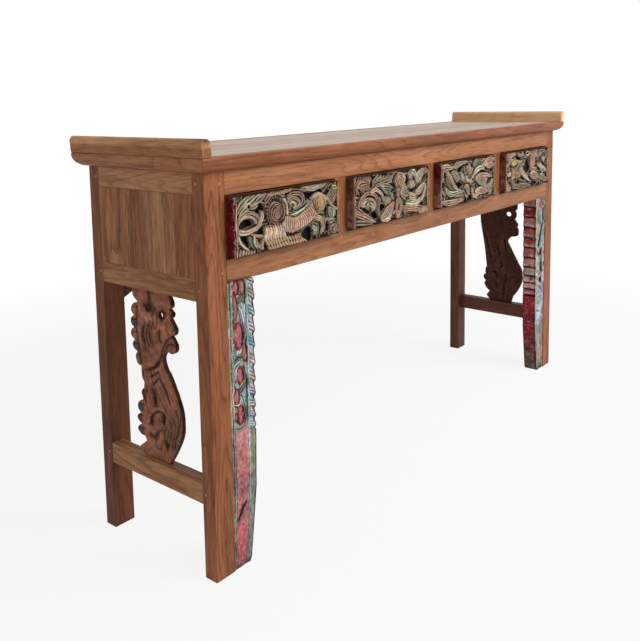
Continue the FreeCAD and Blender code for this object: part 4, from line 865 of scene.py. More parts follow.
FRONT_2_RIGHT = """
leaf sage/olive 20 -2.5 3  66,70 70,86 78,99
leaf grey/cream 12 -1.5  72,99 78,90 80,76
hole 10  69,56 73,62 79,58 76,51 71,50
disc grey/stone 19x10 -1  74,68  rings=3
leaf grey/cream 24 -2 4  80,72 86,86 92,99
leaf tan 16 -3 3  94,99 96,90 99,84
hole  88,69 92,80 97,88 96,80 93,72
horn mint/grey 18 -1 3  66,30 78,24 90,36 94,58 90,68
leaf grey/cream 17 -1 3  79,48 86,52 93,68
leaf*4 cream/sage 7 -1.5 1  68+1k,50-5k 75,47-5k 82,44-4k
leaf green 7 -3 0  67,34 70,33 74,32
leaf*4 tan/ochre 9 -2 1  61,25-3k 76,18-4k 94,14-3k
leaf maroon 9 -4 1  64,7 75,3 86,2
leaf*7 tan/brown 6 -1.5 0  82+2k,14 84+2k,6 86+2k,0
leaf ochre/tan 12 -2.5  98.5,2 99,45 99.5,96
"""


def front_2(face):
    """A flower under an arch of petals, between fans of leaves."""
    face.undergrowth(("sage", "grey", "rose", "stone", "olive"), UNDERGROWTH_COUNT, UNDERGROWTH_LEVEL)
    face.draw(FRONT_2_LEFT)
    face.draw(FRONT_2_FAN)
    face.draw(FRONT_2_RIGHT)
    front_2_flower(face)


FRONT_3_LEFT = """
leaf pink/cream 16 -2 4  -1,92 12,90 24,86
leaf*5 tan|pink/cream 11 -2-0.5k  0,92-7k 10+1k,80-6k 17+1k,62-6k 24+1k,42-3k 33,31
hole 11 umber  5,78 8,78 10,60 8,55 6,62
leaf brown/tan 20 -3 4  9,66 16,48 26,32
leaf sage/mint 17 -1.5 3  5,46 17,26 40,28
leaf cream/pink 10 -1 1  18,62 22,44 34,31
band grey 8 -2  0,36 4,34 6.5,26 5,15
hole 9  6,22 7.5,26 9,20 7.5,15
leaf pink/cream 15 -2 3  -1,14 16,6 40,8
hole 9  17,19 23,19 22,15 18,15
leaf stone 12 -3  24,16 32,15 42,20
"""


def front_3_middle(face):
    """A rayed flower over a fan of petals."""
    face.draw("""
        leaf sage/grey 19 -2 4  20,86 32,95 48,96
        hole  28,77 33,86 41,90 38,78 34,73
        leaf grey/pink 22 -1.5 5  18,76 25,68 33,48
        leaf mint/sage 15 -1  33,72 37,60 42,46
        hole  25.5,47 31,56 34,50 38,45 36,38 30,36
        leaf stone/olive 13 -2.5  40,84 43,70 45,54
        disc ochre/tan 23x19 -0.5  50,76  rings=3 rays=7 dome=4
        disc yellow/cream 9x7 -0.3  50,77  rings=1""")
    for k in range(6):
        turn = math.radians(200 + 28 * k)
        du, dv = math.cos(turn), math.sin(turn)
        line = [(50 + 5 * du, 66 + 12 * dv), (50 + 9 * du, 60 + 20 * dv)]
        face.leaf("cream", 10, -1.5, line, grooves=1, rim="stone")
    face.draw("""
        hole 9  54,52 57,55 58,51 56,49
        hole 9  44,45 50,44 51,41 46,42
        leaf tan/pink 27 -1 3  46,42 44,26 50,8
        leaf olive 9 -3 1  37,38 41,27 46,15
        hole 11 umber  46,1 47,13 51,16 56,10 55,1
        hole  52,80 52.5,91 57,90 58,82""")


def front_3_right(face):
    """Broad leaves with small hollows between them."""
    face.draw("""
        leaf sage 16 -3 3  58,80 61,90 66,99
        leaf green/olive 16 -4 3  64,80 68,88 72,98
        leaf stone 12 -2.5  70,82 74,90 80,98
        leaf pink/tan 22 -2 4  74,82 86,90 100,94
        leaf tan/pink 16 -2 3  82,76 92,80 101,78
        hole  65,57 70,66 76,70 84,63 76,60
        hole  89,61 92,69 96,72 98,64 93,62
        tint green 20x14 0.85  66,88
        tint green 12x12 0.7  41,50
        leaf mint/cream 13 -1  57,62 63,73 72,78 79,70
        leaf grey/pink 34 -1 6  60,54 74,46 92,20
        leaf pink 12 -1  66,57 80,58 93,48
        hole  81,34 83,43 86,44 87,36
        leaf pink/cream 24 -1.5 4  56,8 68,20 86,16
        leaf umber 8 -5 0  57,26 59,20 60,15
        leaf cream 9 -1 1  54,34 56,16 64,3
        leaf sage/mint 22 -2 4  86,4 91,24 95,44""")
    for u, v in ((86, 8), (92, 5), (95, 28)):
        face.hole([(u - 1.2, v), (u, v + 4), (u + 1.2, v), (u, v - 4)], depth=9)
    face.leaf("tan", 11, -2.5, [(99, 2), (99, 50), (99.5, 97)], grooves=2)


def front_3(face):
    """A large flower among broad curling leaves."""
    face.undergrowth(("grey", "pink", "sage", "stone", "brown"), UNDERGROWTH_COUNT, UNDERGROWTH_LEVEL)
    face.draw(FRONT_3_LEFT)
    front_3_middle(face)
    front_3_right(face)


FRONT_4_LEFT = """
leaf*4 sage|grey/stone 14 -2.5 3  0,80+5k 9,90+2k 20+1k,97
leaf stone 14 -2 3  0,64 8,76 20,84
hole  20,89 25,91 33,83 31,78 24,80
band grey 8 -1.5  25,97 31,91 36,95 34,101
leaf cream 8 -1 1  22,79 28,74 34,76
disc yellow/ochre 20x10 -0.5  15,72  rings=2 rays=9
tint gold 18x10 0.85  16,74
leaf ochre 10 -0.5  14,74 20,76 25,70
hole  0,30 2,41 7,41 5,27
hole  9,42 9.5,58 12,56 13.5,38 11.5,34
hole  6,25 10,27 12,20 16,1 12,1 10,14
leaf cream 10 -1.5 1  -1,47 5,45 9,52
leaf*4 pink/cream 8 -2.5 1  -1,22-6k 6,12-4k 11,2-1k
leaf stone/grey 12 -2  9,34 14,24 20,4
"""


FRONT_4_PETALS = """
leaf*6 pink|tan/ochre 11 -1.5  12+3k,30+1k 15+3.4k,44 13+4.4k,60+1k
disc ochre/tan 13x12 -0.8  22,45  rings=2
leaf olive/sage 18 -2 3  22,52 29,62 37,76
leaf sage 10 -1 1  28,50 33,62 39,68
leaf brown/ochre 20 -3 4  14,10 34,8 56,6
hole 10 umber  22,24 27,26 30,17 25,13
horn cream/pink 20 -0.8 3  30,56 38,38 52,18
leaf umber 6 -4 0  27,30 33,24 40,18
hole 12 plum  39,60 43,73 48,83 50,80 52,65 53,50 50,42 45,42 40,52
"""


FRONT_4_MIDDLE = """
leaf stone 10 -2.5 1  36,90 42,84 48,80
band cream/stone 5 -1 0  42,90 46,98 51,92 47,87 42,90
hole 9  43.5,92 47,95 50,93 47,90.5
leaf*6 grey|pink/rose 13 -1.5  52+0.6k,44+2k 56+2.2k,72 53+3.4k,100
leaf rose 13 -1  52,50 60,47 70,50
hole 8 umber  65,56 66,76 69,80 69.5,62
hole 10 umber  55,4 57,14 66,13 71,6 66,1
leaf tan/cream 27 -1 4  54,34 62,30 73,22
hole  70,34 73,37 79,38 77,34
"""


FRONT_4_RIGHT = """
leaf*4 sage|green/olive 12 -2.5  70+2k,78+4k 80,88+2k 92,95-1k
disc mint/teal 15x9 -0.5  86,71  rings=2
hole 9  74,69 76.5,73 79,69 77,66
hole  82,61 88,60 93,50 92,45 86,48
leaf cream/grey 16 -1 3  71,62 82,48 94,37
leaf grey 12 -1.5  78,42 86,36 95,38
hole 10  86,32 90,34 92,30 89,24
leaf brown/stone 12 -3 3  92,70 96,84 99,98
leaf sage/mint 24 -1.5 5  78,26 86,18 95,6
leaf stone 9 -2 1  76,26 77,14 80,4
leaf tan/pink 12 -2.5  98,3 98.5,45 99,97
"""


def front_4(face):
    """Petals and fans of leaves round deep hollows."""
    face.undergrowth(("pink", "grey", "tan", "stone", "brown"), UNDERGROWTH_COUNT, UNDERGROWTH_LEVEL)
    face.draw(FRONT_4_LEFT)
    face.draw(FRONT_4_MIDDLE)
    face.draw(FRONT_4_PETALS)
    face.draw(FRONT_4_RIGHT)


# Carved faces become closed meshes

FRONT_CORNER = 7 * MM
CORNER_FADE = (-3.0, 7.0)
SIDE_SCALE = 0.10
SIDE_HOLLOW = 0.22
SIDE_PAINT_FADE = (-3, 4)
SIDE_PAINT_RISE = (0.25, 0.85)
CONTRAST_PIVOT = 0.5
CONTRAST_POWER = 0.2
SHARP_ANGLE = math.radians(62)


def block_path(lowest, highest):
    """The plan line round a block, from its back left corner to its back right one, in five runs.

    Returns the runs (start or centre, direction, outward normal or first angle, length) and the distance
    of the middle of the first rounded corner."""
    corner = FRONT_CORNER
    left, front, right, back = lowest.x, lowest.y, highest.x, highest.y
    side = back - front - corner
    arc = corner * math.pi / 2
    runs = (
        ((left, back), (0, -1), (-1, 0), side),
        ((left + corner, front + corner), None, math.pi, arc),
        ((left + corner, front), (1, 0), (0, -1), right - left - 2 * corner),
        ((right - corner, front + corner), None, 1.5 * math.pi, arc),
        ((right, front + corner), (0, 1), (1, 0), side))
    return runs, side + arc / 2


def walk(runs, distance):
    """The place and outward normal at a distance along the path."""
    for start, step, facing, length in runs:
        if distance <= length or runs[-1][0] == start:
            break
        distance -= length
    if step:
        return (start[0] + step[0] * distance, start[1] + step[1] * distance), facing
    turn = facing + distance / length * math.pi / 2
    normal = (math.cos(turn), math.sin(turn))
    return (start[0] + FRONT_CORNER * normal[0], start[1] + FRONT_CORNER * normal[1]), normal


def shell_faces(rows, columns):
    """The faces over a grid of points, and last the three that close it above, below and behind."""
    corner = (np.arange(rows - 1)[:, None] * columns + np.arange(columns - 1)).ravel()
    faces = np.stack([corner, corner + 1, corner + columns + 1, corner + columns], axis=1).tolist()
    total = rows * columns
    first_column = list(range(0, total, columns))
    last_column = list(range(columns - 1, total, columns))
    faces.append(list(range(total - columns, total)))
    faces.append(list(range(columns - 1, -1, -1)))
    faces.append(first_column + last_column[::-1])
    return faces


def coat_mesh(data, paint, hollow):
    """Put paint and hollowness on a mesh's points."""
    coat = data.attributes.new("paint", "FLOAT_COLOR", "POINT")
    coat.data.foreach_set("color", linear_rows(paint).astype(np.float32).ravel())
    depth = data.attributes.new("hollow", "FLOAT", "POINT")
    depth.data.foreach_set("value", np.asarray(hollow, np.float32).ravel())


def placed(name, data):
    """An object for some data, in the scene."""
    made = bpy.data.objects.new(name, data)
    bpy.context.scene.collection.objects.link(made)
    return made


def shell_object(name, points, paint, hollow, material, mirrored=False):
    """A closed mesh over a grid of points, smooth but for its closing faces, with paint and hollowness."""
    faces = shell_faces(*points.shape[:2])
    if mirrored:
        faces = [loop[::-1] for loop in faces]
    data = bpy.data.meshes.new(name)
    data.from_pydata(points.reshape(-1, 3), [], faces)
    coat_mesh(data, paint, hollow)
    flags = np.ones(len(faces), bool)
    flags[-3:] = False
    data.polygons.foreach_set("use_smooth", flags)
    data.set_sharp_from_angle(angle=SHARP_ANGLE)
    data.materials.append(material)
    return placed(name, data)


def stronger_contrast(paint):
    """Dark paint a little darker and light paint a little lighter, which strengthens the painted shade and
    highlights with it.
    """
    lightness = paint.mean(axis=-1, keepdims=True)
    return np.clip(paint * (lightness / CONTRAST_PIVOT) ** CONTRAST_POWER, 0, 1)


def paint_sides(face, sides):
    """Paint round the corners: each side goes from one colour at its foot to another at its top."""
    rise = smooth_step(face.z, *(share * face.height for share in SIDE_PAINT_RISE))[..., None]
    for (low_colour, high_colour), beyond in zip(sides, (-face.x, face.x - face.width)):
        amount = smooth_step(beyond, *SIDE_PAINT_FADE)[..., None]
        coat = rising_paint(low_colour, high_colour, rise)
        face.paint += amount * (coat * (1 + face.wobble(5, 0.10))[..., None] - face.paint)


def carved_block(name, node, draw, sides, seed, material):
    """A thick block with a carving on its front that runs round its rounded upright corners."""
    lowest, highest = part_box(node)
    runs, before = block_path(lowest, highest)
    total = sum(run[3] for run in runs)
    margin = before / MM
    width, height = total / MM - 2 * margin, (highest.z - lowest.z) / MM
    face = Relief(width, height, margin, FRONT_GROUND, "umber", seed)
    draw(face)
    inward = smooth_step(face.x, *CORNER_FADE) * smooth_step(face.width - face.x, *CORNER_FADE)
    paint_sides(face, sides)
    face.level *= SIDE_SCALE + (1 - SIDE_SCALE) * inward
    # The top and bottom rows are painted umber, as painted shade on the block's top and bottom faces
    face.paint[[0, -1]] = PAINT["umber"]
    level, paint, hollow = face.finish(FRONT_DEPTH_LIMIT)
    rows, columns = level.shape
    along = [walk(runs, d) for d in np.linspace(0, total, columns)]
    base = np.array([place for place, _ in along])
    normal = np.array([facing for _, facing in along])
    points = np.empty((rows, columns, 3))
    points[..., :2] = base + normal * (level * MM)[..., None]
    points[..., 2] = np.linspace(lowest.z, highest.z, rows)[:, None]
    hollow += SIDE_HOLLOW * (1 - inward)
    return shell_object(name, points, stronger_contrast(paint), hollow, material)


def make_carved_fronts(material):
    """Each drawer's carving, with the paint at the foot and top of its left side."""
    rows = ((front_1, ("oxblood", "oxblood")), (front_2, ("taupe", "bark")),
            (front_3, ("taupe", "oxblood")), (front_4, ("russet", "russet")))
    for number, (draw, left_side) in enumerate(rows, 1):
        node = f"drawer_{number}_carved_front"
        sides = (left_side, ("tan", "tan"))
        piece = carved_block(f"drawer_{number}_carving", node, draw, sides, number, material)
        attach(piece, f"drawer_{number}")
        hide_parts(node)


# The painted pillars. Places are millimetres: across from the post, over the front and round onto the
# inner side, and up from the floor

PILLAR_PITCH = 0.9
PILLAR_DEPTH_LIMIT = 9.0
PILLAR_CORNER = 2.5
PILLAR_GROUND = -2.0
PILLAR_TOP = 580
INNER_SIDE = (75.4, 118)
BACK_COLUMNS = 7
EVEN_WIDTH = 18
EVEN_PAD = 40
EDGE_START = 0.62
CAP_BAND = 20 * MM
CAP_REACH = 0.9
SHOULDER = 40 * MM
RIDGE_FEET = "candy crimson shell pink shell candy shell frost shell pink candy".split()
RIDGE_TOPS = "pink crimson rosewood crimson crimson rosewood candy shell candy shell rosewood".split()
LOBES_LEFT = (563, 530, 497, 464, 433, 398, 365, 337, 313, 293, 273)
LOBES_RIGHT = (548, 515, 480, 448, 415, 381, 351, 322, 298, 276, 257)


def left_pillar_border(face):
    """A narrow border beside the post, in the colours that are left on it."""
    rows = ((545, 580, "stone"), (500, 548, "teal"), (462, 505, "sage"), (395, 470, "grey"),
            (285, 405, "cream"), (165, 292, "stone"), (55, 175, "sage"), (-4, 62, "brown"))
    for low_end, high_end, colour in rows:
        face.band(colour, 9, -0.9, [(6.5, low_end), (7, (low_end + high_end) / 2), (6.5, high_end)],
                  grooves=1, crown=1.2)


def fruit(face, centre, half, tilt=0.0):
    """A red fruit, pale on its left and dark down its right side."""
    x, z = centre
    face.disc("crimson", half, -0.5, (x, z), dome=3.0, rim="crimson")
    face.tint("coral", (x - 0.15 * half[0], z), (0.40 * half[0], 0.65 * half[1]), 0.30)
    face.tint("pink", (x - 0.80 * half[0], z + 0.1 * half[1]), (0.35 * half[0], 0.65 * half[1]), 0.75)
    face.tint("blood", (x + 0.98 * half[0], z + tilt), (0.75 * half[0], 1.10 * half[1]), 0.95)


def left_pillar_fruit(face):
    """The upper half: red fruit between pale leaves."""
    face.draw("""
        leaf sky/frost 24 -1.8 4  20,442 38,478 32,534
        leaf frost/stone 15 -1.2 3  48,470 44,505 26,528
        leaf sage/stone 13 -1.6  14,505 18,480 14,455
        leaf olive/green 15 -1.4  26,536 40,540 50,566""")
    fruit(face, (25, 563), (9, 17))
    fruit(face, (43, 563), (6, 17))
    face.tint("tan", (44, 558), (7, 14), 0.5)
    fruit(face, (20, 525), (5.5, 30))
    face.draw("""
        leaf sky/stone 14 -1.8 3  16,450 14,432 24,408
        leaf frost/grey 15 -1.6 3  46,450 34,436 18,420
        leaf olive/stone 13 -2 3  14,418 28,426 42,424""")
    fruit(face, (29, 468), (13.5, 28), -3)
    fruit(face, (47, 430), (8, 17))
    face.draw("""
        leaf frost/sky 13 -1 1  12,398 22,408 40,416
        tint white 5x5 0.8  20,401
        groove 1.8 1.5  16,402 22,410 34,416""")


def left_pillar_leaves(face):
    """The lower half, down to the plain shaft."""
    face.leaf("tan", 26, -1.0, [(34, 364), (37, 385), (36, 408)], grooves=3, rim="olive")
    fruit(face, (32, 388), (9.5, 19), 2)
    face.draw("""
        leaf olive/sage 18 -1.4 3  22,350 36,362 54,378
        leaf sky/frost 16 -1.4 3  46,296 42,326 26,356
        leaf teal/green 10 -1.6  53,300 53,340 52,372
        groove 2.4 3.5  13,372 24,354 36,346 44,328""")
    fruit(face, (20, 347), (6.5, 17), 2)
    face.leaf("stone", 12, -1.6, [(13, 330), (24, 325), (36, 330)], grooves=2, rim="frost")
    fruit(face, (30, 309), (12.5, 19), -2)
    fruit(face, (17, 308), (5, 8))
    face.leaf("grey", 9, -1.4, [(12, 287), (28, 283), (48, 290)], grooves=1, rim="teal")


def speckle(face, across, upward, colours, count, size=(2.5, 6.0), amount=0.5):
    """Many small worn patches."""
    for k in range(count):
        place = (face.random.uniform(*across), face.random.uniform(*upward))
        radii = (size[0], size[1] * face.random.uniform(0.6, 2.5))
        face.tint(colours[k % len(colours)], place, radii, amount)


def scallop_leaves(face, levels, colours, start, end):
    """A leaf with slanting stripes on each scallop of the edge."""
    tops = (levels[0] + 34,) + levels[:-1]
    for k, (top, level) in enumerate(zip(tops, levels)):
        height = top - level
        colour, rim = colours[k % len(colours)]
        line = [(start - 2, top + 4), (start + 6, level + 0.55 * height), (end + 2, level + 2)]
        face.leaf(colour, 17, -0.8, line, grooves=0, crown=1.8, rim=rim)
        for part in (0.85, 0.60, 0.36):
            stripe = [(start, level + part * height), (end, level + (part - 0.30) * height)]
            face.groove(stripe, 2.6, 1.2, 0.55)


def left_pillar_shaft(face):
    """Below the carving: a plain painted strip between two borders, worn by feet and damp."""
    face.coat((14, 53), (-8, 286), "rosewood", "candy")
    face.coat((53, 74), (-8, 286), "stone", "frost")
    face.coat((58, 74), (120, 276), "teal", "sage")
    face.draw("""
        tint yellow 5x30 0.5  69,250
        tint leafgreen 5x30 0.6  69,215
        tint rose 12x90 0.35  31,165
        tint rosewood 9x70 0.6  31,175
        tint rosewood 9x50 0.8  33,55
        tint navy 6x9 0.7  66,277
        tint umber 40x12 0.5  40,-2""")
    speckle(face, (15, 52), (5, 280), ("pink", "candy", "rosewood", "crimson"), 220, (1.6, 2.4), 0.4)
    speckle(face, (53, 73), (5, 270), ("frost", "stone", "teal", "sage"), 80, (1.6, 4.0))
    speckle(face, (3, 13), (5, 400), ("frost", "stone", "white", "sage"), 60, (1.6, 4.0))
    face.draw("""
        groove 1.6 0.8 0.35  14,-5 14.5,140 14,282
        groove 1.6 0.8 0.35  53,-5 53,140 53.5,278
        groove 13 2.2 0.45  19,100 26,108 32,117 43,126""")
    for place in ((21, 102), (27, 109), (33, 117), (40, 124)):
        face.tint("maroon", place, (5, 5), 0.75)


def left_pillar(face):
    """Fruit and leaves over a worn shaft, with striped scallops down the inner edge."""
    face.coat((-5, 76), (280, 590), "sky", "frost")
    face.undergrowth(("frost", "white", "sky", "lilac"), 240, -1.5, width=10, keep=(70, 284))
    left_pillar_border(face)
    left_pillar_shaft(face)
    left_pillar_fruit(face)
    left_pillar_leaves(face)
    colours = (("grey", "stone"), ("lilac", "candy"), ("sky", "blue"), ("lilac", "grey"),
               ("sky", "navy"), ("candy", "stone"))
    scallop_leaves(face, LOBES_LEFT, colours, 60, 74)
    face.draw("""
        band sky/teal 5 -0.8 0  56,276 57,430 56,578  crown=1
        groove 1.6 1 0.6  51,286 52,430 51,575""")
    for low_end, high_end in ((432, 456), (528, 566), (360, 385)):
        face.groove([(50, low_end), (51, high_end)], 2.6, 4.5)
    face.draw("""
        tint blue 8x11 0.55  60,514
        tint blue 8x11 0.55  61,456
        tint blue 8x11 0.55  66,446
        tint teal 8x11 0.55  64,420
        tint teal 8x11 0.55  54,464
        tint green 8x11 0.55  55,372
        tint blue 8x11 0.55  52,302
        tint green 8x11 0.55  54,550""")
    ridge_paint(face, LOBES_LEFT)


def ridge_paint(face, levels):
    """The inner side: each ridge runs from pink-red under its groove to worn grey above the next."""
    face.coat(INNER_SIDE, (-5, levels[-1]), "rust", "crimson")
    face.draw("""
        tint crimson 30x90 0.5  96,170
        tint stone 22x40 0.6  96,30""")
    tops = (PILLAR_TOP,) + levels[:-1]
    for low_colour, high_colour, top, bottom in zip(RIDGE_FEET, RIDGE_TOPS, tops, levels):
        face.coat(INNER_SIDE, (bottom, top), low_colour, high_colour)
    speckle(face, INNER_SIDE, (262, 570), ("frost", "rosewood", "pink", "wine", "grey"), 70, (6, 3))
    for bottom in levels:
        face.coat(INNER_SIDE, (bottom - 2.6, bottom + 3.4), "wine", "wine")
        face.groove([(INNER_SIDE[0] - 1, bottom), (INNER_SIDE[1] + 3, bottom)], 7, 0.8, 0.22)


def right_pillar_front(face):
    """The upper half: slanting leaves with deep slots and dents between them."""
    for k in range(12):
        low_end = 262 + 27 * k
        colour = ("frost", "pink", "grey", "sky", "candy", "lilac")[k % 6]
        line = [(10 + 3 * (k % 3), low_end), (34, low_end + 12), (60, low_end + 30)]
        face.leaf(colour, 15, -1.4, line, grooves=3, rim="frost" if k % 2 else "stone")
    face.draw("""
        leaf teal/sky 22 -0.8 3  34,492 48,512 56,536
        leaf teal/frost 17 -0.8  30,326 50,338 70,340
        leaf crimson/blood 12 -0.8 1  42,384 48,392 54,398
        tint crimson 8x18 0.8  33,356
        tint crimson 18x16 0.7  24,560
        tint maroon 9x24 0.75  10,520
        tint maroon 9x20 0.75  24,470
        tint maroon 10x22 0.75  38,442
        tint maroon 12x14 0.75  28,396
        tint maroon 10x24 0.75  22,350
        tint maroon 12x11 0.75  28,304
        hole 7  4,500 5,540 14,536 15,502
        hole 7  10,492 22,484 50,424 38,422
        hole 7  18,388 22,406 37,402 35,386
        hole 7  14,330 17,371 28,368 27,332
        hole 7  18,296 20,312 38,310 36,296
        tint crimson 6x5 0.8  27,303""")


def right_pillar_shaft(face):
    """Below the carving: pale worn paint over slanting tool cuts."""
    face.coat((-2, 74), (-5, 286), "grey", "lilac")
    face.draw("""
        tint frost 20x80 0.7  45,205
        tint sky 11x62 0.7  48,95
        tint pink 18x60 0.7  22,75
        tint crimson 9x34 0.7  68,72
        tint white 16x60 0.7  20,220
        tint pink 10x24 0.7  60,260
        tint umber 40x10 0.7  40,4""")
    speckle(face, (2, 72), (8, 270), ("frost", "pink", "stone", "white"), 60, amount=0.4)
    face.groove([(36, 200), (46, 205), (54, 203)], 5, 2)
    for k in range(14):
        z = 12 + 20 * k
        face.groove([(6 + 5 * (k % 3), z), (36, z - 5), (60 - 4 * (k % 4), z - 4)], 1.8, 0.9, 0.3)


def right_pillar(face):
    """Slanting leaves over a worn shaft, with scallops down the inner edge."""
    face.coat((-5, 74), (284, 590), "frost", "teal")
    face.undergrowth(("sky", "candy", "frost", "grey"), 240, -1.6, width=10, keep=(68, 290))
    right_pillar_shaft(face)
    right_pillar_front(face)
    colours = (("pink", "stone"), ("grey", "stone"), ("rose", "grey"))
    scallop_leaves(face, LOBES_RIGHT, colours, 62, 73)
    face.band("cream", 3.5, -0.4, [(72.5, -4), (72.5, 290), (72.5, 570)], grooves=0, crown=0.5)
    ridge_paint(face, LOBES_RIGHT)


def solid_line(node, key, value, keep):
    """Sorted places along one line of a solid's points, as a pair of lists."""
    points = np.array([vertex.co[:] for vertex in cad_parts[node].data.vertices])
    points = points[keep(points)]
    order = points[:, key].argsort()
    return points[order, key], points[order, value]


def pillar_columns(face, thickness):
    """How far across the front, back along the inner side and back to the post each column is."""
    front = face.x[0]
    turn = face.width - thickness
    across = np.clip(front / turn, 0, 1)
    behind = np.clip(front - turn, 0, thickness)
    across = np.concatenate([across, np.linspace(1, 0, BACK_COLUMNS + 1)[1:]])
    behind = np.concatenate([behind, np.full(BACK_COLUMNS, thickness)])
    return across, behind


def carved_pillar(name, node, inner, draw, seed, material):
    """A pillar with its scalloped inner edge taken from its solid and its faces carved and painted."""
    lowest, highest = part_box(node)
    thickness = (highest.y - lowest.y) / MM
    breadth = (highest.x - lowest.x) / MM
    height = (highest.z - lowest.z) / MM
    face = Relief(breadth + thickness, height, 0, PILLAR_GROUND, "stone", seed, PILLAR_PITCH)
    face.unit = (1.0, 1.0)
    draw(face)
    from_corner = abs(face.x - breadth)
    face.level -= PILLAR_CORNER * smooth_step(-from_corner, -PILLAR_CORNER, 0)
    level, paint, hollow = face.finish(PILLAR_DEPTH_LIMIT)
    wide = ((0, 0), (0, BACK_COLUMNS))
    level = np.pad(level, wide)
    paint = np.pad(paint, wide + ((0, 0),), mode="edge")
    hollow = np.pad(hollow, wide)
    points = pillar_points(node, inner, face, level)
    return shell_object(name, points, paint, hollow, material, mirrored=inner < 0)


def pillar_points(node, inner, face, level):
    """The surface of a pillar. inner is 1 if its inner side faces right and -1 if it faces left.

    The carved columns keep an even width down the pillar, and those near the inner edge follow its
    scallops. Near the top they are squeezed under the pillar's sloping cap."""
    lowest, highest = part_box(node)
    thickness = (highest.y - lowest.y) / MM
    post_side = lowest.x if inner > 0 else highest.x
    middle = (lowest.x + highest.x) / 2
    z = np.linspace(lowest.z, highest.z, level.shape[0])[:, None]
    edge = solid_line(node, 2, 0, lambda p: (p[:, 1] < lowest.y + MM) & ((p[:, 0] - middle) * inner > 0))
    width = abs(np.interp(z, *edge) - post_side)
    padded = np.pad(width, ((EVEN_PAD, EVEN_PAD), (0, 1)), mode="edge")
    even = blurred(padded, EVEN_WIDTH)[EVEN_PAD:-EVEN_PAD, :1]
    across, behind = pillar_columns(face, thickness)
    facing_side = np.clip(behind / PILLAR_CORNER, 0, 1) * (behind < thickness - 0.1)
    facing_front = (across < 1) & (behind == 0)
    points = np.empty(level.shape + (3,))
    reach_out = across * even + (width - even) * smooth_step(across, EDGE_START, 1.0)
    points[..., 0] = post_side + inner * (reach_out + facing_side * level * MM)
    points[..., 1] = lowest.y + (behind - facing_front * level) * MM
    reach = CAP_REACH * (highest.x - lowest.x)
    top = solid_line(node, 0, 2, lambda p: (p[:, 1] < lowest.y + MM) & (p[:, 2] > highest.z - CAP_BAND)
                     & (abs(p[:, 0] - post_side) < reach))
    ceiling = np.interp(points[..., 0], *top)
    shoulder = highest.z - SHOULDER
    squeeze = (ceiling - shoulder) / (highest.z - shoulder)
    points[..., 2] = np.where(z > shoulder, shoulder + (z - shoulder) * squeeze, z)
    return points


def make_pillars(material):
    """Both pillars. The number after a node is the side on which its inner edge is."""
    rows = (("left_painted_pillar", 1, left_pillar, 11), ("right_painted_pillar", -1, right_pillar, 12))
    for node, inner, draw, seed in rows:
        piece = carved_pillar(node.replace("painted", "carved"), node, inner, draw, seed, material)
        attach(piece, "table")
        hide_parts(node)


# The pierced brackets. Places are hundredths of a field a little larger than a bracket

BRACKET_VOXEL = 1.1 * MM
BRACKET_FIELD = (180.0, 360.0)
BRACKET_ORIGIN = (-102.5, 190.0)
BRACKET_DEPTH_LIMIT = 4.2
BRACKET_GROOVE_SCALE = 2.1
BRACKET_GROOVE_SHADE = 0.62
BRACKET_EDGE_SHADE = 0.6


def left_bracket_head(face):
    """A scroll like a wave's crest, with a comb of locks behind it."""
    face.draw("""
        groove 8 5  62.5,101 63,94 62.5,90
        groove 7 4.5  61,88.5 65,87.5 72,89.5
        groove 9 5  38,86.5 43,85 49,87
        groove 6 4  42,88.5 43.5,85 43,83.5
        groove 2.6 2.4  53,90 58,86 57.5,80 54,78 51,81 52.5,87
        groove 2.6 1.8  33,84 34,80 31,76.5
        groove 4.2 4  15,76.5 21,76 31,74 41,68.5 48,61.5 51.5,57
        groove 3.6 2.8  26,71.5 33,70 40,65.5 45,60""")
    locks = ((46, 77, 71), (60, 80, 67), (64, 81, 68), (68, 78, 66), (73, 79, 64), (76, 76, 68))
    for u, high_end, low_end in locks:
        face.groove([(u - 1, high_end), (u + 2, (low_end + high_end) / 2), (u - 1.5, low_end)], 4.2, 2.8)
    face.draw("""
        groove 3.4 2.4  84,88 86,77 84,66 79,55
        groove 4.2 4  51,58 59,54.5 71,52""")


# The recess under the head with two bars left standing in it.
LEFT_BRACKET_LADDER = """
groove 2.6 4 0.8  51,58 58,55 67,53.5
groove 2.4 4 0.8  51.5,53.5 57,51 64,49
groove 2.6 4 0.8  51,49.5 56,47 62,44.5
groove 1.8 3 0.8  66,53 64,50 62,46
groove 3 1.6  50,52 43,46 33,38
groove 2.6 1.2  48,49 41,43 32,36.5
groove 7 4.6  62,41 60,37 58.5,32.5
groove 3.4 1.8  57,42 50,37 41,31.5
"""


def left_bracket_belly(face):
    """Long grooves down the belly and a raised ring round the piercings."""
    face.draw("""
        band oak 6 -0.4 0  41,29 48,31.5 58,30.5 68,26.5 73,20  crown=1
        groove 3.4 3  42,27.5 49,29.5 58,28.5 66,25 70,20
        groove 6 4.4  66,26 67,23 65,20.5
        groove 5 4  47,27.5 48,25 46,23.5""")
    rows = ((22, 34, 12), (27, 29, 11), (32, 26, 11), (17, 40, 18), (37, 22, 13))
    for u, high_end, low_end in rows:
        face.groove([(u + 2, high_end), (u, (low_end + high_end) / 2 + 2), (u + 7, low_end)], 4.0, 2.4)
    face.draw("""
        groove 4.6 3.6  45,20 45.5,14.5 41,9
        band oak 5 -0.6 0  55,18.5 62,17 70,15  crown=1
        groove 6 4.6  58,15.5 63,13.5 70,14
        groove 3.4 2.4  50,19.5 56,16.5 61,12.5
        groove 2.8 1.8  48,13 52,8 59,8.5 60,12
        groove 3 2  77,51 79,42 76,33
        groove 2.6 1.8  72,42 75,34 71,27""")


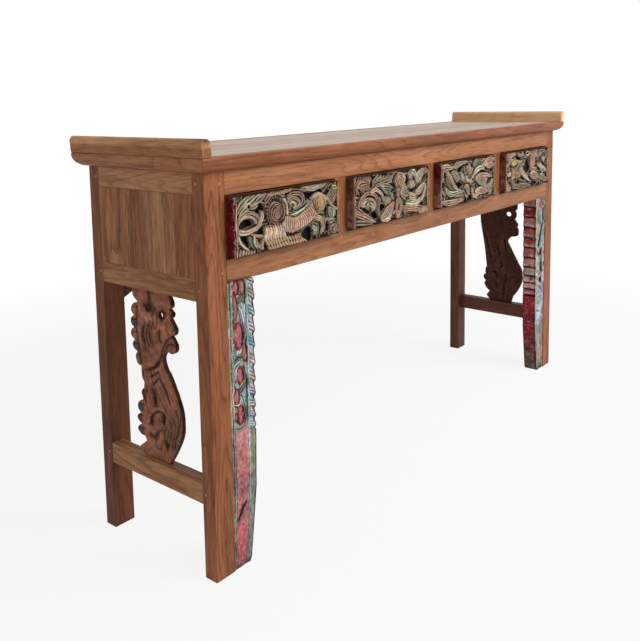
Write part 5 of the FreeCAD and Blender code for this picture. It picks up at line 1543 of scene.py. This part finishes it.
LEFT_LOBES = (
    (91, 85, "tan"), (92, 78, "slate"), (92, 71, "rose"), (90, 64, "navy"), (86, 57, "rose"),
    (79, 37, "brown"), (85, 28.5, "slate"), (88, 21.5, "rust"), (86, 14.5, "slate"),
    (20, 95, "umber"), (20, 88, "umber"), (17, 80, "olive"), (17, 72, "bark"))


def left_bracket(face):
    """A scroll over a recess and a round belly, with painted lobes round the edge."""
    for u, v, colour in LEFT_LOBES:
        face.tint(colour, (u, v), (13, 12), 0.85)
        face.groove([(u - 7, v + 2.6), (u + 1, v + 1.6), (u + 6, v - 1)], 2.4, 1.2)
    left_bracket_head(face)
    face.draw(LEFT_BRACKET_LADDER)
    left_bracket_belly(face)
    for place in ((30, 60), (60, 62), (66, 40), (50, 92)):
        face.tint("brown", place, (26, 22), 0.30)
    face.tint("brown", (40, 18), (60, 70), 0.45)
    for place in ((24, 24), (34, 80), (56, 70), (30, 47)):
        face.tint("ochre", place, (14, 26), 0.22)


# A few slanting slots and dents.
RIGHT_BRACKET_CUTS = """
groove 3 2.35  88,68 85,62 80,53
groove 3 2.35  84,62 80,55 76,46
groove 3 2.35  80,54 76,47 73,42
groove 7 4.15  62,56 60,51 57.5,46
groove 6 3.7  46.5,61 45.5,57 43.5,52
groove 6 3.7  53,40 52,37 54,35
groove 8 4.6  66,29 63,27 61,25.5
groove 8 4.6  43,27.5 45,25.5 43,23
groove 6 3.7  64,19 63,17 62,15
groove 8 4.6  46,21 47,17.5 47.5,13
groove 5 3.25  48,12 47,10 48,8
groove 6 3.7  60,97 55,96 50,97
groove 3 2.35  84,96 86,92 82,88
"""


def right_bracket(face):
    """A plainer board, made darker by its ground and umber patches as painted shade for the deep shadow
    that it stands in.
    """
    face.draw(RIGHT_BRACKET_CUTS)
    for place in ((60, 80), (40, 40), (60, 20), (75, 50)):
        face.tint("umber", place, (24, 34), 0.45)


def sampled(field, column, row):
    """A field read between its grid points."""
    c0, r0 = np.floor(column).astype(int), np.floor(row).astype(int)
    c0 = np.clip(c0, 0, field.shape[1] - 2)
    r0 = np.clip(r0, 0, field.shape[0] - 2)
    a, b = column - c0, row - r0
    if field.ndim == 3:
        a, b = a[:, None], b[:, None]
    near = field[r0, c0] * (1 - a) + field[r0, c0 + 1] * a
    far = field[r0 + 1, c0] * (1 - a) + field[r0 + 1, c0 + 1] * a
    return near * (1 - b) + far * b


def fine_copy(node, voxel):
    """A copy of a solid with small even faces and softened edges."""
    source = placed("blank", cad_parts[node].data.copy())
    remesh = source.modifiers.new("fine", "REMESH")
    remesh.mode = "VOXEL"
    remesh.voxel_size = voxel
    soften = source.modifiers.new("soften", "SMOOTH")
    soften.factor = 0.5
    soften.iterations = 3
    ready = source.evaluated_get(bpy.context.evaluated_depsgraph_get())
    data = bpy.data.meshes.new_from_object(ready)
    bpy.data.objects.remove(source)
    return data


def carved_bracket(name, node, draw, ground, seed, material):
    """A pierced board with both of its faces carved and painted shade on its front edge."""
    data = fine_copy(node, BRACKET_VOXEL)
    face = Relief(*BRACKET_FIELD, 0, 0.0, ground, seed)
    face.groove_scale = BRACKET_GROOVE_SCALE
    face.groove_shade = BRACKET_GROOVE_SHADE
    draw(face)
    level, paint, hollow = face.finish(BRACKET_DEPTH_LIMIT)
    points = np.empty((len(data.vertices), 3))
    normals = np.empty((len(data.vertices), 3))
    data.vertices.foreach_get("co", points.ravel())
    data.vertices.foreach_get("normal", normals.ravel())
    column = (points[:, 1] / MM - BRACKET_ORIGIN[0]) / GRID_PITCH
    row = (points[:, 2] / MM - BRACKET_ORIGIN[1]) / GRID_PITCH
    facing = smooth_step(abs(normals[:, 0]), 0.3, 0.8)
    points[:, 0] += np.sign(normals[:, 0]) * facing * sampled(level, column, row) * MM
    data.vertices.foreach_set("co", points.ravel())
    data.shade_smooth()
    # The front edge is painted toward umber, as painted shade on the board's edge
    edge = smooth_step(-normals[:, 1], 0.4, 0.9)[:, None]
    coat = sampled(paint, column, row)
    coat += BRACKET_EDGE_SHADE * edge * (np.array(PAINT["umber"]) - coat)
    dirt_and_shade = sampled(hollow, column, row) * facing
    coat_mesh(data, coat[:, None, :], dirt_and_shade)
    data.materials.clear()
    data.materials.append(material)
    return placed(name, data)


def make_brackets(material):
    """Both brackets, each with its carving and the colour of its wood."""
    # The right bracket's pitch ground is darker than the left's oak, as painted shade
    rows = (("left", left_bracket, "oak", 21), ("right", right_bracket, "pitch", 22))
    for side, draw, ground, seed in rows:
        node = f"{side}_carved_bracket"
        piece = carved_bracket(f"{side}_bracket_carving", node, draw, ground, seed, material)
        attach(piece, "table")
        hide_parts(node)


# Old paint over carved wood

PAINT_SPECULAR = 0.15


def old_paint(name, grain, bare=(0.76, 0.67, 0.58), wear=0.45, dirt_and_shade=(0.10, 0.045, 0.035),
              depth_shade=0.6):
    """Faded paint: rubbed through on the ridges, darkened in the hollows by dirt and painted shade, dry
    and fibrous.
    """
    tree = Tree(name)
    paint = tree.node("ShaderNodeAttribute", attribute_name="paint").outputs["Color"]
    hollow = tree.node("ShaderNodeAttribute", attribute_name="hollow").outputs["Fac"]
    fibres = tree.noise(tree.place(grain), 240.0, 4.0, 0.65)
    patches = tree.noise(tree.place(), 55.0, 4.0, 0.65)
    specks = tree.noise(tree.place(), 420.0, 2.0)
    ridge = tree.math("MULTIPLY_ADD", hollow, -1.2, patches)
    rubbed = tree.span(tree.math("MULTIPLY_ADD", fibres, 0.5, ridge), 0.72, 1.15, 0.0, wear)
    colour = tree.mix(rubbed, paint, linear(bare))
    colour = tree.mix(tree.span(fibres, 0.52, 0.72, 0.0, 0.28), colour, linear(dirt_and_shade))
    # The hollows are darkened toward the dirt colour by depth_shade, which stands for dirt and painted
    # shade together
    colour = tree.mix(tree.span(hollow, 0.12, 0.75, 0.0, depth_shade), colour, linear(dirt_and_shade))
    colour = tree.mix(tree.span(specks, 0.62, 0.72, 0.0, 0.35), colour, linear(dirt_and_shade))
    depth = tree.math("MULTIPLY_ADD", patches, 0.5, fibres)
    normal = tree.bump(depth, 0.5, 0.5 * MM)
    return tree.finish(colour, tree.span(patches, 0.3, 0.7, 0.55, 0.75), normal, PAINT_SPECULAR)


# Camera, light and floor

CAMERA_PLACE = Vector((-1.7645, -1.1941, 0.9244))
CAMERA_YAW = 0.8403
CAMERA_PITCH = 0.1202
CAMERA_ROLL = -0.0243
FOCAL_PIXELS = 785.54
IMAGE_CENTRE = (266.92, 191.24)
IMAGE_WIDTH = 640
IMAGE_HEIGHT = 641
SENSOR_WIDTH = 36
WORLD_STRENGTH = 0.36
WHITE = (1, 1, 1, 1)
FLOOR_REACH = 14.0
FLOOR_COLOUR = (0.93, 0.93, 0.925)
FLOOR_FADE = (1.1, 2.6)
FLOOR_WHITE = (0.86, 1.0)
TABLE_MIDDLE = (0, 0, 0.45)


def make_camera():
    """The camera that was fitted to the photograph."""
    camera = placed("camera", bpy.data.cameras.new("camera"))
    forward = Vector((
        math.sin(CAMERA_YAW) * math.cos(CAMERA_PITCH),
        math.cos(CAMERA_YAW) * math.cos(CAMERA_PITCH),
        -math.sin(CAMERA_PITCH)))
    level = Vector((math.cos(CAMERA_YAW), -math.sin(CAMERA_YAW), 0))
    rise = level.cross(forward)
    right = level * math.cos(CAMERA_ROLL) + rise * math.sin(CAMERA_ROLL)
    up = rise * math.cos(CAMERA_ROLL) - level * math.sin(CAMERA_ROLL)
    turn = Matrix((right, up, -forward)).transposed().to_4x4()
    camera.matrix_world = Matrix.Translation(CAMERA_PLACE) @ turn
    lens = camera.data
    lens.sensor_fit = "HORIZONTAL"
    lens.sensor_width = SENSOR_WIDTH
    lens.lens = FOCAL_PIXELS / IMAGE_WIDTH * lens.sensor_width
    lens.shift_x = (IMAGE_WIDTH / 2 - IMAGE_CENTRE[0]) / IMAGE_WIDTH
    lens.shift_y = (IMAGE_CENTRE[1] - IMAGE_HEIGHT / 2) / IMAGE_WIDTH
    bpy.context.scene.camera = camera


def area_lamp(name, place, size, watts):
    """A square lamp that shines at the middle of the table."""
    lamp = placed(name, bpy.data.lights.new(name, "AREA"))
    lamp.location = place
    lamp.rotation_euler = (Vector(TABLE_MIDDLE) - Vector(place)).to_track_quat("-Z", "Y").to_euler()
    lamp.data.size = size
    lamp.data.energy = watts


def seen_ray(tree):
    """One for rays that should see a white background: camera, glossy and transmission."""
    path = tree.nodes.new("ShaderNodeLightPath")
    seen = None
    for name in ("Is Camera Ray", "Is Glossy Ray", "Is Transmission Ray"):
        if seen is None:
            seen = path.outputs[name]
            continue
        most = tree.nodes.new("ShaderNodeMath")
        most.operation = "MAXIMUM"
        tree.links.new(seen, most.inputs[0])
        tree.links.new(path.outputs[name], most.inputs[1])
        seen = most.outputs[0]
    return seen


def make_world():
    """A white background that lights the table less than it shows."""
    world = bpy.data.worlds.new("studio")
    bpy.context.scene.world = world
    world.use_nodes = True
    tree = world.node_tree
    background = tree.nodes["Background"]
    background.inputs["Color"].default_value = WHITE
    strength = tree.nodes.new("ShaderNodeMapRange")
    strength.inputs["To Min"].default_value = WORLD_STRENGTH
    strength.inputs["To Max"].default_value = 1.0
    tree.links.new(seen_ray(tree), strength.inputs["Value"])
    tree.links.new(strength.outputs[0], background.inputs["Strength"])


def make_floor():
    """A pale floor that fades to the white background away from the table."""
    data = bpy.data.meshes.new("floor")
    corners = [(FLOOR_REACH * x, FLOOR_REACH * y, 0) for x, y in ((-1, -1), (1, -1), (1, 1), (-1, 1))]
    data.from_pydata(corners, [], [(0, 1, 2, 3)])
    floor = placed("floor", data)
    tree = Tree("pale_floor")
    tree.shader.inputs["Base Color"].default_value = linear(FLOOR_COLOUR)
    tree.shader.inputs["Roughness"].default_value = 0.9
    tree.shader.inputs["Specular IOR Level"].default_value = 0.1
    white = tree.node("ShaderNodeEmission", {"Color": WHITE, "Strength": 1.0})
    distance = tree.node("ShaderNodeVectorMath", {0: tree.place()}, operation="LENGTH").outputs["Value"]
    away = tree.span(distance, *FLOOR_FADE, *FLOOR_WHITE)
    amount = tree.math("MULTIPLY", away, seen_ray(tree.material.node_tree))
    blend = tree.node("ShaderNodeMixShader", {0: amount})
    tree.links.new(tree.shader.outputs[0], blend.inputs[1])
    tree.links.new(white.outputs[0], blend.inputs[2])
    tree.links.new(blend.outputs[0], tree.out.inputs["Surface"])
    data.materials.append(tree.material)


def make_studio():
    """Camera, background, floor and two lamps."""
    make_camera()
    make_world()
    make_floor()
    area_lamp("key", (1.15, -3.0, 3.0), 2.4, 110)
    area_lamp("fill", (-3.2, -0.8, 1.9), 2.4, 7)
    bpy.context.scene.view_settings.view_transform = "Standard"


dress_frame()
make_carved_fronts(old_paint("old_paint_fronts", ALONG_X))
make_pillars(old_paint("old_paint_pillars", ALONG_Z, bare=(0.80, 0.81, 0.80), wear=0.25,
                       dirt_and_shade=(0.12, 0.09, 0.09), depth_shade=0.5))
make_brackets(old_paint("old_paint_brackets", ALONG_Z, bare=(0.64, 0.44, 0.33), wear=0.30,
                        dirt_and_shade=(0.15, 0.08, 0.06), depth_shade=0.45))
make_studio()
